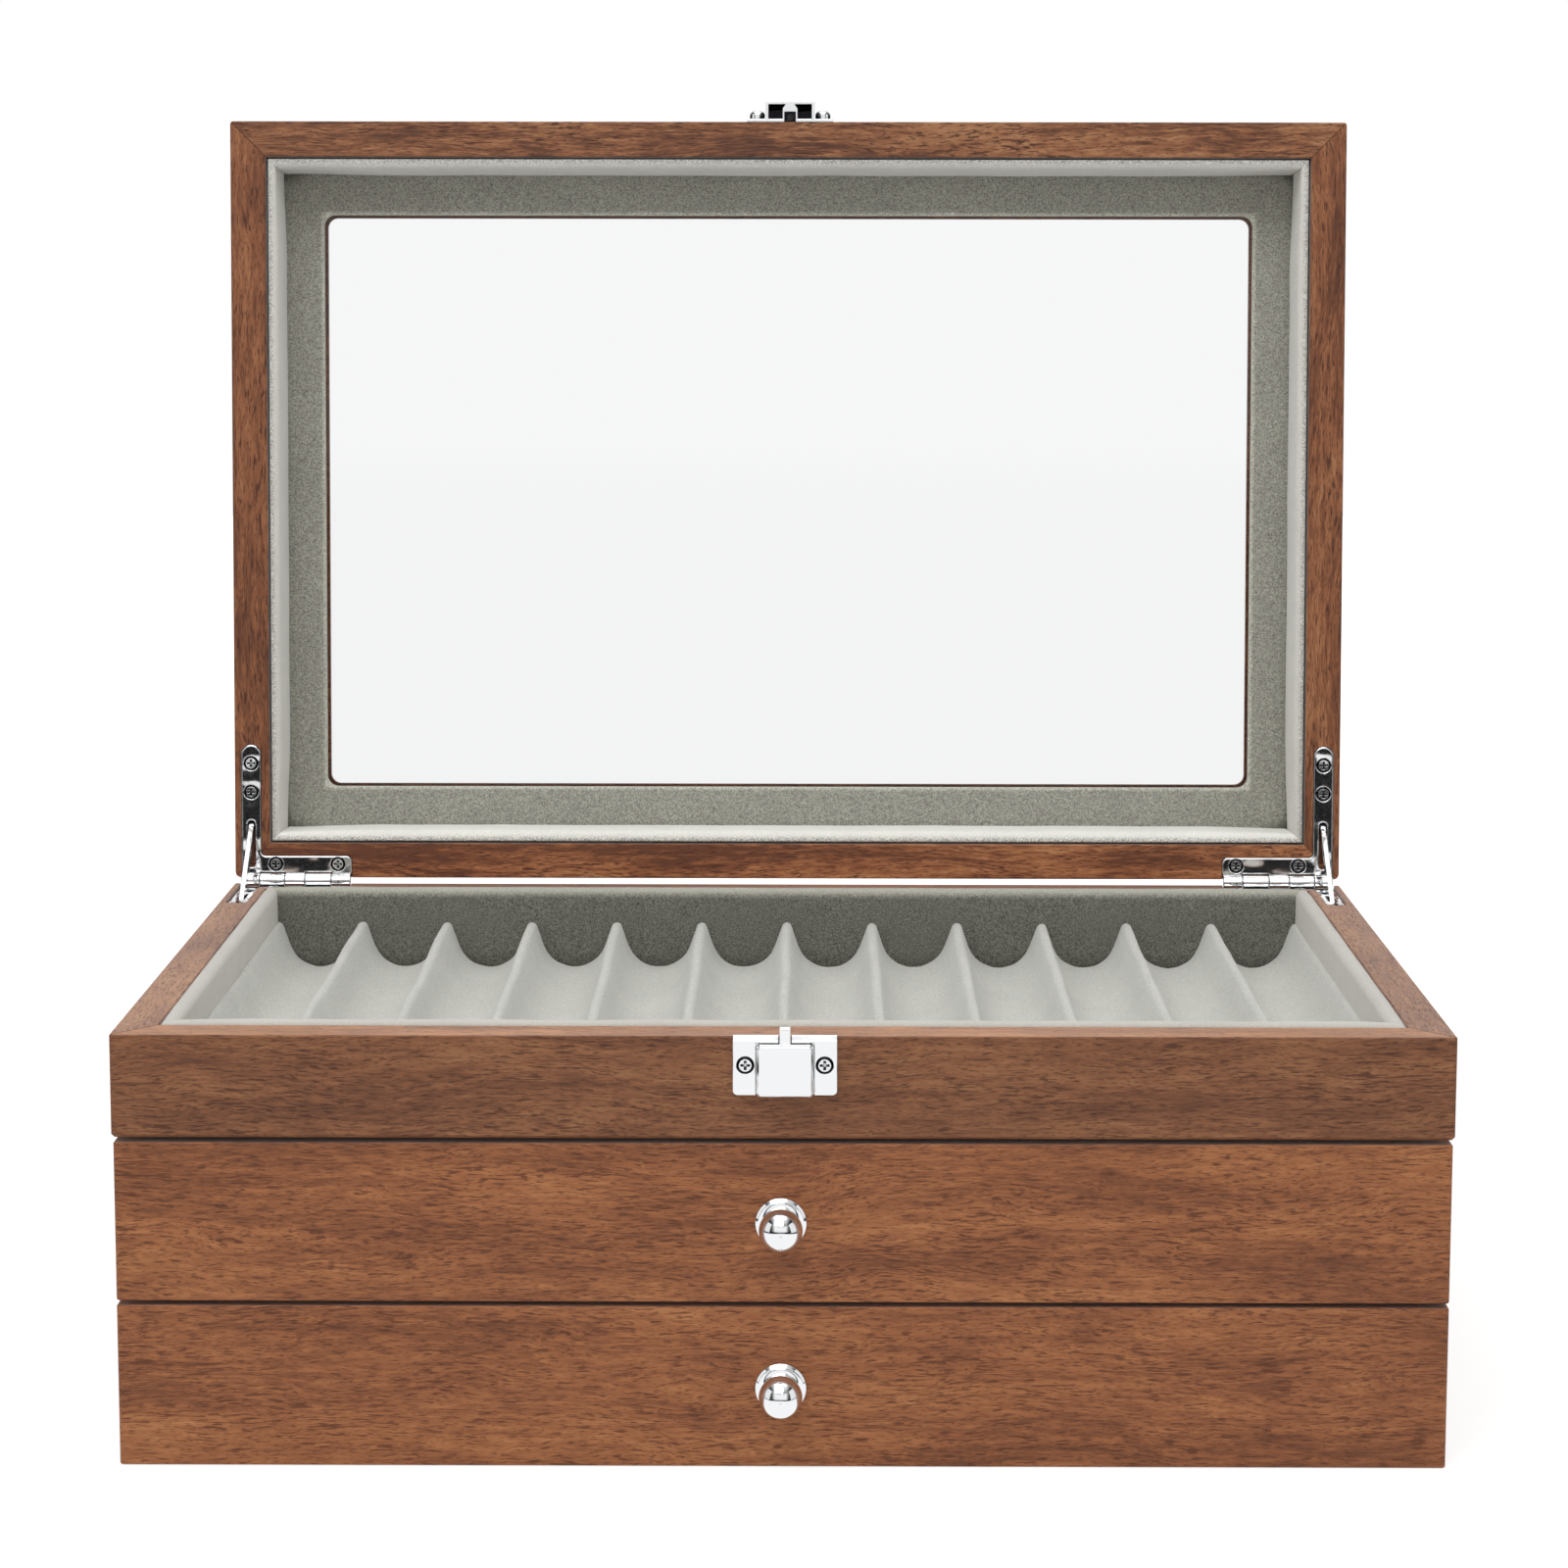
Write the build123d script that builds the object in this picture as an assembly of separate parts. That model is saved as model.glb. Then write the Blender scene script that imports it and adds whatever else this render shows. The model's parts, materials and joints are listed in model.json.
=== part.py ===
from build123d import *
import math
import os

# Pen collector chest: a walnut box with a glazed lid, a twelve-slot pen tray under
# it and two pen drawers below. It is modelled as it stands in use: lid open on its
# stays, both drawers shut. Millimetres; the origin is the middle of the underside,
# +X to the right, +Y to the back, +Z up.

# ---------------------------------------------------------------- driving sizes
WIDTH = 350.0
DEPTH = 238.0
RIM_Z = 115.6            # height of the case rim
WALL = 11.0              # side and back panels, lid frame
RAIL_WALL = 13.0         # thickness of the front rail
RAIL_HEIGHT = 27.3
REVEAL = 1.3             # gap between the rail and the two drawer fronts
FELT = 1.0               # sheet under the base
BOTTOM = 4.0             # bottom panel of the case
SHELF = 3.0              # boards between the levels
LINER = 4.8              # velvet-covered boards round the top tray
LINER_RISE = 1.1         # how far those boards stand above the rim
EASE = 0.3               # small chamfer on the wood's edges
CORNER_ROUND = 1.0       # rounding of the upright corners
LIP_EASE = 0.8           # chamfer round the underside of the rail
MITRE_GROOVE = 0.3       # width and depth of the fine line at each mitre

FRONT_THICK = 10.0       # drawer fronts
FRONT_INSET = 0.5        # drawer fronts are this much narrower at each end
FRONT_GAP = 0.5          # air between a drawer front and the carcass
FRONT_FOOT = 0.2         # the lower front hides the bottom panel, to just off the table
DRAWER_WALL = 9.0
DRAWER_BOTTOM = 3.0
DRAWER_SIDE_GAP = 0.6
DRAWER_UNDER_GAP = 0.3
DRAWER_OVER_GAP = 1.0
DRAWER_BACK_GAP = 4.0
DRAWER_LINER = 4.8
DRAWER_LINER_DROP = 0.6  # the drawer liner ends this far below the drawer's top edge

TOP_SLOTS = 12
DRAWER_SLOTS = 11
SLOT_DEPTH = 14.1        # ridge crest to valley floor
SLOT_RADIUS = 10.2       # valley floor
FLANK_ANGLE = 71.0       # slope of the ridge flanks, in degrees
TRAY_FLOOR = 4.0         # padding under the valleys

LID_DEPTH = 34.0
LID_GAP = 1.6            # between the case rim and the shut lid
LID_BOARD = 5.0          # the board that frames the glass
LID_BACK_ROUND = 1.8     # upright corners at the lid's back
LID_OPEN = 94.3          # degrees from shut to the stop of the stays
AXIS_BEHIND = 0.8        # hinge axis behind the back panel
WINDOW = (296.0, 182.0)
WINDOW_RADIUS = 3.2
GLASS_THICK = 3.0
GLASS_LAP = 5.0          # how far the pane runs under the board, all round
MAT_THICK = 3.0
MAT_REVEAL = 0.7         # the mat's opening is this much larger, all round
BOLSTER = 5.2
BOLSTER_RECESS = 0.4     # below the lid's rim
FIT = 0.05               # radial clearance of the pins

# hinges; distances "out" are measured from the hinge axis along a leaf
LEAF_THICK = 1.2
LEAF_X = -169.8          # middle of the left hinge's long leg
LEAF_WIDTH = 6.0
LID_LEAF_REACH = 42.9
LID_LEAF_SCREWS = (28.0, 37.1)
CASE_LEAF_REACH = 38.0
CASE_LEAF_SCREWS = (10.0, 33.6)
CASE_LEAF_SINK = 0.8     # the case leaves lie this far below the rim
FOOT_REACH = 7.6         # short leg, along the back rim
FOOT_END_X = -138.1
FOOT_SCREWS_X = (-162.1, -142.4)
FOOT_SCREW_OUT = 5.1
FOOT_ROUND = 1.6
BARREL_RADIUS = 2.05
PIN_RADIUS = 1.0
KNUCKLE_ENDS = (-172.9, -167.1, -159.1, -152.7, -144.3, -138.2)
KNUCKLE_GAP = 0.2
SLOT_WIDTH = 2.6         # slots in the leaves, for the stay
LID_SLOT = (4.0, 19.0)
CASE_SLOT = (15.0, 26.8)
MORTISE_CLEAR = 0.25

STAY_THICK = 1.5
STAY_TOP_OUT = 17.4      # pivot on the lid leaf
STAY_TOP_IN = 2.4        # height of that pivot above the axis, lid shut
STAY_FOOT = (-24.8, -4.3)  # lower end from the axis (y, z), lid open
STAY_EYE = 1.3
STAY_WAIST = 1.8
STAY_HEAD_RADIUS = 1.2
STAY_HEAD_LENGTH = 4.4
RIVET_RADIUS = 0.6
EAR_THICK = 0.8
STAY_POCKET_DEPTH = 35.0

SCREW_HEAD = 2.35        # radius of the small countersunk heads
SCREW_SHANK = 1.1
SCREW_LENGTH = 7.0
SCREW_DOME = 0.35
ROUND_HEAD = 3.0         # height of the keeper's round screw heads
CROSS_LENGTH = 2.5
CROSS_WIDTH = 0.7
CROSS_DEPTH = 0.8

LATCH_X = 0.6
LATCH_WIDTH = 27.0
LATCH_LOW = 100.5
LATCH_HIGH = 116.0
LATCH_THICK = 2.2
LATCH_CORNER = 1.2
LATCH_WALL = 0.5         # what is left of the base behind the button
LATCH_SCREW_OFFSET = 10.3
LATCH_SCREW_Z = 108.4
BUTTON_WIDTH = 14.7
BUTTON_LOW = 99.9
BUTTON_HIGH = 114.0
BUTTON_FACE = 3.6        # how far the button's face stands off the rail
BUTTON_THICK = 1.6
BUTTON_TRAVEL = 1.2
STEM_WIDTH = 11.0
STEM_LOW = 102.5
STEM_HIGH = 112.5
STEM_DEEP = 3.2          # how far the button's stem reaches into the rail
POCKET_DEEP = 8.0
CATCH_WIDTH = 2.8
CATCH_TOP = 118.5
CATCH_BACK = 1.6         # the catch's post stands this far off the rail
CATCH_THICK = 1.3
TOOTH_LENGTH = 0.7
TOOTH_HEIGHT = 0.65
SPRING_RADIUS = 2.0
SPRING_WIRE = 0.25
SPRING_TURNS = 4
SPRING_SEAT = 1.2        # how deep the spring sits in the button's stem

KEEPER_WIDTH = 26.9
KEEPER_BODY = 15.4
KEEPER_HEIGHT = 12.0
KEEPER_PROUD = 6.4
KEEPER_FLANGE = 0.9
KEEPER_SKIN = 0.9
KEEPER_ROOF = 1.6
LEDGE_THICK = 0.4
TONGUE_WIDTH = 4.6

KNOB_X = -0.4
KNOB_FLANGE = 6.7
KNOB_BALL = 5.7
KNOB_BALL_OUT = 9.0
KNOB_NECK = 3.0
KNOB_ABOVE_BOTTOM = 21.4
KNOB_SCREW_RADIUS = 1.9
KNOB_SCREW_HEAD = 3.8

# ------------------------------------------------------------- derived positions
FRONT_Y = -DEPTH / 2
BACK_Y = DEPTH / 2
SIDE_X = WIDTH / 2
INNER_X = SIDE_X - WALL
RAIL_LOW = RIM_Z - RAIL_HEIGHT
FRONT_HEIGHT = (RAIL_LOW - FELT - 2 * REVEAL) / 2
LOWER_FRONT_Z = (FRONT_FOOT, FELT + FRONT_HEIGHT)
UPPER_FRONT_Z = (FELT + FRONT_HEIGHT + REVEAL, RAIL_LOW - REVEAL)
CARCASS_Y = FRONT_Y + FRONT_THICK + FRONT_GAP
TOP_SHELF_Z = RAIL_LOW - SHELF
MID_SHELF_Z = UPPER_FRONT_Z[0] - REVEAL / 2 - SHELF / 2
LOWER_BAY = (FELT + BOTTOM, MID_SHELF_Z)
UPPER_BAY = (MID_SHELF_Z + SHELF, TOP_SHELF_Z)

AXIS_Y = BACK_Y + AXIS_BEHIND
AXIS_Z = RIM_Z + LID_GAP / 2
LID_RIM_Z = RIM_Z + LID_GAP
LID_TOP_Z = LID_RIM_Z + LID_DEPTH
BOARD_Z = LID_TOP_Z - LID_BOARD
MAT_Z = BOARD_Z - MAT_THICK
CASE_LEAF_Z = RIM_Z - CASE_LEAF_SINK  # upper face of the case leaves
CASE_LEAF_LOW = CASE_LEAF_Z - LEAF_THICK
LID_LEAF_HIGH = LID_RIM_Z + LEAF_THICK
BARREL_CLEAR = 0.35
BARREL_FRONT_Y = AXIS_Y - BARREL_RADIUS - BARREL_CLEAR


def box(low, high):
    """A box between two corners."""
    size = [b - a for a, b in zip(low, high)]
    middle = [(a + b) / 2 for a, b in zip(low, high)]
    return Pos(*middle) * Box(*size)


def rod_x(y, z, radius, x0, x1):
    """A round bar along X."""
    return Pos((x0 + x1) / 2, y, z) * Rot(0, 90, 0) * Cylinder(radius, x1 - x0)


def rod_y(x, z, radius, y0, y1):
    """A round bar along Y."""
    return Pos(x, (y0 + y1) / 2, z) * Rot(90, 0, 0) * Cylinder(radius, y1 - y0)


def rod_z(x, y, radius, z0, z1):
    """A round bar along Z."""
    return Pos(x, y, (z0 + z1) / 2) * Cylinder(radius, z1 - z0)


def plan_prism(points, z0, z1):
    """A prism standing on a closed outline in plan."""
    outline = Polyline(*points, close=True)
    return Pos(0, 0, z0) * extrude(make_face(outline), z1 - z0)


def rounded_block(low, high, corner, ease):
    """A block with rounded upright corners and eased top and bottom edges."""
    block = box(low, high)
    block = fillet(block.edges().filter_by(Axis.Z), corner)
    ends = block.edges().group_by(Axis.Z)
    return chamfer(ends[0] + ends[-1], ease)


def mirrored(solid):
    """The same piece for the right-hand side."""
    return mirror(solid, about=Plane.YZ)


def opened(solid):
    """A lid piece, drawn shut, turned to where the open lid holds it."""
    hinge = Axis((0, AXIS_Y, AXIS_Z), (1, 0, 0))
    return solid.rotate(hinge, -LID_OPEN)


# ------------------------------------------------------------------------ screws
def cross_recess():
    """The cross-shaped driver recess of a screw whose head faces +Z at z = 0."""
    bar = Box(CROSS_LENGTH, CROSS_WIDTH, CROSS_DEPTH)
    drop = SCREW_DOME - CROSS_DEPTH / 2
    return Pos(0, 0, drop) * (bar + Rot(0, 0, 90) * bar)


def countersunk_screw():
    """A small wood screw; its head's rim is at z = 0 and it points down."""
    head = Pos(0, 0, -LEAF_THICK / 2) * Cone(SCREW_SHANK, SCREW_HEAD, LEAF_THICK)
    dome = Pos(0, 0, SCREW_DOME / 2) * Cone(SCREW_HEAD, SCREW_HEAD * 0.7, SCREW_DOME)
    shank = rod_z(0, 0, SCREW_SHANK, -SCREW_LENGTH, -LEAF_THICK)
    return head + dome + shank - cross_recess()


def round_screw():
    """A round-headed wood screw; its head sits on z = 0 and it points down."""
    head = rod_z(0, 0, SCREW_HEAD, 0, ROUND_HEAD)
    head = fillet(head.edges().group_by(Axis.Z)[-1], 1.4)
    shank = rod_z(0, 0, SCREW_SHANK, -SCREW_LENGTH + ROUND_HEAD, 0)
    lift = Pos(0, 0, ROUND_HEAD - SCREW_DOME)
    return head + shank - lift * cross_recess()


def countersink():
    """The tapered hole that takes such a head, through one leaf."""
    taper = Pos(0, 0, -LEAF_THICK / 2) * Cone(SCREW_SHANK, SCREW_HEAD, LEAF_THICK)
    return taper


def screw_hole():
    """The hole in the wood under a screw, from just above its head."""
    return rod_z(0, 0, SCREW_SHANK, -SCREW_LENGTH, 0)


# ------------------------------------------------------------------------ hinges
def leaf_screw_spots(leg_screws):
    """Where the four screws of the left hinge's leaf stand, as (x, y)."""
    long_leg = [(LEAF_X, AXIS_Y - out) for out in leg_screws]
    short_leg = [(x, AXIS_Y - FOOT_SCREW_OUT) for x in FOOT_SCREWS_X]
    return long_leg + short_leg


def leaf_plate(reach, z0, z1, grow=0.0):
    """The L-shaped plate of the left hinge, or with grow, the recess for it."""
    half = LEAF_WIDTH / 2 + grow
    end_y = AXIS_Y - reach + LEAF_WIDTH / 2
    root_y = AXIS_Y - BARREL_RADIUS - 0.45 + grow
    foot_y = AXIS_Y - FOOT_REACH - grow
    foot_end = FOOT_END_X + grow
    leg = box((LEAF_X - half, end_y, z0), (LEAF_X + half, root_y, z1))
    tip = rod_z(LEAF_X, end_y, half, z0, z1)
    foot = box((LEAF_X - half, foot_y, z0), (foot_end, root_y, z1))
    plate = leg + tip + foot
    uprights = plate.edges().filter_by(Axis.Z)
    inner = uprights.sort_by_distance((LEAF_X + half, foot_y, z0))[0]
    outer = uprights.sort_by_distance((foot_end, foot_y, z0))[0]
    return fillet([inner, outer], FOOT_ROUND)


def leaf_slot(reach, z0, z1):
    """The round-ended slot in a leaf's long leg."""
    half = SLOT_WIDTH / 2
    near_y = AXIS_Y - reach[0] - half
    far_y = AXIS_Y - reach[1] + half
    middle = box((LEAF_X - half, far_y, z0), (LEAF_X + half, near_y, z1))
    return middle + rod_z(LEAF_X, near_y, half, z0, z1) + rod_z(LEAF_X, far_y, half, z0, z1)


def knuckles(spans, plate_z0, plate_z1, bore):
    """The rolled knuckles of one leaf, each tied to the plate by its tongue."""
    solids = []
    for start, end in spans:
        x0 = start + KNUCKLE_GAP / 2
        x1 = end - KNUCKLE_GAP / 2
        barrel = rod_x(AXIS_Y, AXIS_Z, BARREL_RADIUS, x0, x1)
        tongue = box((x0, BARREL_FRONT_Y - 0.6, plate_z0), (x1, AXIS_Y, plate_z1))
        solids.append(barrel + tongue - rod_x(AXIS_Y, AXIS_Z, bore, x0, x1))
    return solids


def case_leaf():
    """Left hinge, the leaf let into the case rim."""
    plate = leaf_plate(CASE_LEAF_REACH, CASE_LEAF_LOW, CASE_LEAF_Z)
    spans = list(zip(KNUCKLE_ENDS, KNUCKLE_ENDS[1:]))[1::2]
    for knuckle in knuckles(spans, CASE_LEAF_LOW, CASE_LEAF_Z, PIN_RADIUS):
        plate += knuckle
    plate -= leaf_slot(CASE_SLOT, CASE_LEAF_LOW, CASE_LEAF_Z)
    for x, y in leaf_screw_spots(CASE_LEAF_SCREWS):
        plate -= Pos(x, y, CASE_LEAF_Z) * countersink()
    return plate


def lid_leaf():
    """Left hinge, the leaf let into the lid's rim, with the stay's two ears."""
    plate = leaf_plate(LID_LEAF_REACH, LID_RIM_Z, LID_LEAF_HIGH)
    spans = list(zip(KNUCKLE_ENDS, KNUCKLE_ENDS[1:]))[0::2]
    for knuckle in knuckles(spans, LID_RIM_Z, LID_LEAF_HIGH, PIN_RADIUS + FIT):
        plate += knuckle
    plate -= leaf_slot(LID_SLOT, LID_RIM_Z, LID_LEAF_HIGH)
    for x, y in leaf_screw_spots(LID_LEAF_SCREWS):
        plate -= Pos(x, y, LID_RIM_Z) * Rot(180, 0, 0) * countersink()
    pivot_y = AXIS_Y - STAY_TOP_OUT
    pivot_z = AXIS_Z + STAY_TOP_IN
    for side in (-1, 1):
        inner = LEAF_X + side * SLOT_WIDTH / 2
        outer = inner + side * EAR_THICK
        low = (min(inner, outer), pivot_y - STAY_EYE, LID_LEAF_HIGH - 0.2)
        top = (max(inner, outer), pivot_y + STAY_EYE, pivot_z + STAY_EYE)
        plate += box(low, top)
    reach = SLOT_WIDTH / 2 + EAR_THICK + 1
    return plate - rod_x(pivot_y, pivot_z, RIVET_RADIUS, LEAF_X - reach, LEAF_X + reach)


def hinge_pin():
    """Left hinge pin, through all the knuckles."""
    return rod_x(AXIS_Y, AXIS_Z, PIN_RADIUS, KNUCKLE_ENDS[0], KNUCKLE_ENDS[-1])


def stay_rivet():
    """The rivet between the lid leaf's ears, on which the left stay turns."""
    reach = SLOT_WIDTH / 2 + EAR_THICK
    pivot_y = AXIS_Y - STAY_TOP_OUT
    pivot_z = AXIS_Z + STAY_TOP_IN
    return rod_x(pivot_y, pivot_z, RIVET_RADIUS, LEAF_X - reach, LEAF_X + reach)


def stay_pivot():
    """Where the open lid holds the stay's pivot, as (y, z)."""
    turn = math.radians(-LID_OPEN)
    y = -STAY_TOP_OUT * math.cos(turn) - STAY_TOP_IN * math.sin(turn)
    z = -STAY_TOP_OUT * math.sin(turn) + STAY_TOP_IN * math.cos(turn)
    return AXIS_Y + y, AXIS_Z + z


def stay_link():
    """Left stay: a flat bar with an eye on the lid and a cross head under the slot."""
    top_y, top_z = stay_pivot()
    foot_y = AXIS_Y + STAY_FOOT[0]
    foot_z = AXIS_Z + STAY_FOOT[1]
    length = math.hypot(foot_y - top_y, foot_z - top_z)
    lean = math.degrees(math.atan2(top_y - foot_y, top_z - foot_z))
    outline = [
        (STAY_EYE, 0),
        (STAY_WAIST, -length * 0.55),
        (STAY_WAIST, -length),
        (-STAY_WAIST, -length),
        (-STAY_WAIST, -length * 0.55),
        (-STAY_EYE, 0),
    ]
    face = make_face(Polyline(*outline, close=True))
    bar = Pos(0, 0, -STAY_THICK / 2) * extrude(face, STAY_THICK)
    bar += Cylinder(STAY_EYE, STAY_THICK)
    bar += Pos(0, -length, 0) * Cylinder(STAY_WAIST, STAY_THICK)
    bar += Pos(0, -length, 0) * Cylinder(STAY_HEAD_RADIUS, STAY_HEAD_LENGTH)
    bar -= Cylinder(RIVET_RADIUS + FIT, 2 * STAY_THICK)
    upright = Rot(0, 90, 0) * Rot(0, 0, 90) * bar
    return Pos(LEAF_X, top_y, top_z) * Rot(-lean, 0, 0) * upright


def case_hinge_cut():
    """What the left hinge takes out of the case: leaf recess, barrel groove, stay
    mortise and screw holes."""
    over = RIM_Z + 1
    cut = leaf_plate(CASE_LEAF_REACH, CASE_LEAF_LOW, over, MORTISE_CLEAR)
    groove_z = AXIS_Z - BARREL_RADIUS - BARREL_CLEAR
    groove_x0 = KNUCKLE_ENDS[0] - BARREL_CLEAR
    groove_x1 = KNUCKLE_ENDS[-1] + BARREL_CLEAR
    cut += box((groove_x0, BARREL_FRONT_Y, groove_z), (groove_x1, BACK_Y + 1, over))
    for start, end in list(zip(KNUCKLE_ENDS, KNUCKLE_ENDS[1:]))[1::2]:
        tongue_y = BARREL_FRONT_Y - MORTISE_CLEAR
        cut += box((start, tongue_y, CASE_LEAF_LOW), (end, BACK_Y + 1, over))
    half = STAY_HEAD_LENGTH / 2 + 0.4
    far_y = AXIS_Y - CASE_SLOT[1] - 2.0
    near_y = AXIS_Y - CASE_SLOT[0] + 0.4
    floor_z = RIM_Z - STAY_POCKET_DEPTH
    cut += box((LEAF_X - half, far_y, floor_z), (LEAF_X + half, near_y, CASE_LEAF_Z))
    for x, y in leaf_screw_spots(CASE_LEAF_SCREWS):
        cut += Pos(x, y, CASE_LEAF_Z) * screw_hole()
    return cut


def lid_hinge_cut():
    """What the left hinge takes out of the lid frame, lid shut."""
    under = LID_RIM_Z - 1
    cut = leaf_plate(LID_LEAF_REACH, under, LID_LEAF_HIGH, MORTISE_CLEAR)
    groove_z = AXIS_Z + BARREL_RADIUS + BARREL_CLEAR
    groove_x0 = KNUCKLE_ENDS[0] - BARREL_CLEAR
    groove_x1 = KNUCKLE_ENDS[-1] + BARREL_CLEAR
    cut += box((groove_x0, BARREL_FRONT_Y, under), (groove_x1, BACK_Y + 1, groove_z))
    half = SLOT_WIDTH / 2 + EAR_THICK + 0.3
    far_y = AXIS_Y - LID_SLOT[1] - 0.6
    near_y = AXIS_Y - LID_SLOT[0]
    roof_z = AXIS_Z + STAY_TOP_IN + STAY_EYE + 0.6
    cut += box((LEAF_X - half, far_y, LID_RIM_Z), (LEAF_X + half, near_y, roof_z))
    for x, y in leaf_screw_spots(LID_LEAF_SCREWS):
        cut += Pos(x, y, LID_RIM_Z) * Rot(180, 0, 0) * screw_hole()
    return cut


# ------------------------------------------------------------------------- latch
def button_stem_pocket():
    """The hollow in the front rail behind the latch."""
    half = STEM_WIDTH / 2 + 0.4
    low = (LATCH_X - half, FRONT_Y - LATCH_THICK, STEM_LOW - 0.4)
    high = (LATCH_X + half, FRONT_Y + POCKET_DEEP, STEM_HIGH + 0.4)
    return box(low, high)


def latch_screw_spots():
    """The two latch screws, as (x, z)."""
    return [(LATCH_X + side * LATCH_SCREW_OFFSET, LATCH_SCREW_Z) for side in (-1, 1)]


def latch_plate():
    """The latch's base on the front rail: two flanges and a recess for the button."""
    half = LATCH_WIDTH / 2
    face_y = FRONT_Y - LATCH_THICK
    plate = box((LATCH_X - half, face_y, LATCH_LOW), (LATCH_X + half, FRONT_Y, LATCH_HIGH))
    corners = plate.edges().filter_by(Axis.Y)
    plate = fillet(corners.group_by(Axis.Z)[0], LATCH_CORNER)
    along_x = plate.edges().filter_by(Axis.X)
    plate = chamfer(along_x.sort_by_distance((0, face_y, LATCH_HIGH))[0], 1.2)
    room = BUTTON_WIDTH / 2 + 0.3
    recess_low = (LATCH_X - room, face_y - 1, LATCH_LOW - 1)
    recess_high = (LATCH_X + room, FRONT_Y - LATCH_WALL, BUTTON_HIGH + 0.3)
    plate -= box(recess_low, recess_high)
    plate -= button_stem_pocket()
    notch = CATCH_WIDTH / 2 + 0.3
    notch_low = (LATCH_X - notch, face_y - 1, BUTTON_HIGH - 2.4)
    plate -= box(notch_low, (LATCH_X + notch, FRONT_Y + 1, LATCH_HIGH + 1))
    for x, z in latch_screw_spots():
        plate -= Pos(x, face_y, z) * Rot(90, 0, 0) * countersink()
        plate -= rod_y(x, z, SCREW_SHANK, face_y, FRONT_Y)
    return plate


def latch_button():
    """The push button: face, stem into the rail and the catch that hooks the keeper."""
    face_y = FRONT_Y - BUTTON_FACE
    half = BUTTON_WIDTH / 2
    low = (LATCH_X - half, face_y, BUTTON_LOW)
    face = box(low, (LATCH_X + half, face_y + BUTTON_THICK, BUTTON_HIGH))
    face = fillet(face.edges().filter_by(Axis.Y), LATCH_CORNER)
    face = chamfer(face.edges().group_by(Axis.Y)[0], 0.6)
    stem_half = STEM_WIDTH / 2
    stem_low = (LATCH_X - stem_half, face_y + BUTTON_THICK, STEM_LOW)
    stem = box(stem_low, (LATCH_X + stem_half, FRONT_Y + STEM_DEEP, STEM_HIGH))
    seat_y = FRONT_Y + STEM_DEEP - SPRING_SEAT
    middle_z = (STEM_LOW + STEM_HIGH) / 2
    stem -= rod_y(LATCH_X, middle_z, SPRING_RADIUS + 0.6, seat_y, FRONT_Y + POCKET_DEEP)
    web = CATCH_WIDTH / 2
    back_y = FRONT_Y - CATCH_BACK
    post_y = back_y - CATCH_THICK
    post = box((LATCH_X - web, post_y, BUTTON_HIGH - 2), (LATCH_X + web, back_y, CATCH_TOP))
    tooth_y = post_y - TOOTH_LENGTH
    tooth_low = (LATCH_X - web, tooth_y, CATCH_TOP - TOOTH_HEIGHT)
    crown = post + box(tooth_low, (LATCH_X + web, post_y, CATCH_TOP))
    along_x = crown.edges().filter_by(Axis.X)
    crown = chamfer(along_x.sort_by_distance((0, tooth_y, CATCH_TOP))[0], 0.4)
    return face + stem + crown


def latch_spring():
    """The coil spring behind the button."""
    start_y = FRONT_Y + STEM_DEEP - SPRING_SEAT + SPRING_WIRE
    end_y = FRONT_Y + POCKET_DEEP - SPRING_WIRE
    middle_z = (STEM_LOW + STEM_HIGH) / 2
    pitch = (end_y - start_y) / SPRING_TURNS
    path = Helix(pitch, end_y - start_y, SPRING_RADIUS)
    wire = Plane(path @ 0, z_dir=path % 0) * Circle(SPRING_WIRE)
    coil = sweep(wire, path=path)
    return Pos(LATCH_X, start_y, middle_z) * Rot(-90, 0, 0) * coil


def latch_screws():
    """Both latch screws, one group."""
    face_y = FRONT_Y - LATCH_THICK
    screws = []
    for x, z in latch_screw_spots():
        screws.append(Pos(x, face_y, z) * Rot(90, 0, 0) * countersunk_screw())
    return Compound(children=screws)


def keeper_tongue():
    """The bar down the middle of the keeper, with the ledge that the catch hooks."""
    half = TONGUE_WIDTH / 2
    front_y = FRONT_Y - KEEPER_PROUD
    roof_z = LID_RIM_Z + KEEPER_HEIGHT - KEEPER_ROOF
    outline = [
        (LATCH_X - half, FRONT_Y),
        (LATCH_X - half, front_y + 2.2),
        (LATCH_X - half * 0.45, front_y + KEEPER_SKIN / 2),
        (LATCH_X + half * 0.45, front_y + KEEPER_SKIN / 2),
        (LATCH_X + half, front_y + 2.2),
        (LATCH_X + half, FRONT_Y),
    ]
    tongue = plan_prism(outline, LID_RIM_Z, roof_z)
    well = CATCH_WIDTH / 2 + 0.4
    ledge_y = FRONT_Y - CATCH_BACK - CATCH_THICK - 0.25
    over = CATCH_TOP + 0.9
    shaft = box((LATCH_X - well, ledge_y, LID_RIM_Z - 1), (LATCH_X + well, FRONT_Y + 1, over))
    hook_low = (LATCH_X - well, ledge_y - TOOTH_LENGTH, LID_RIM_Z + LEDGE_THICK)
    shaft += box(hook_low, (LATCH_X + well, ledge_y + 0.1, over))
    return tongue, shaft


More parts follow.
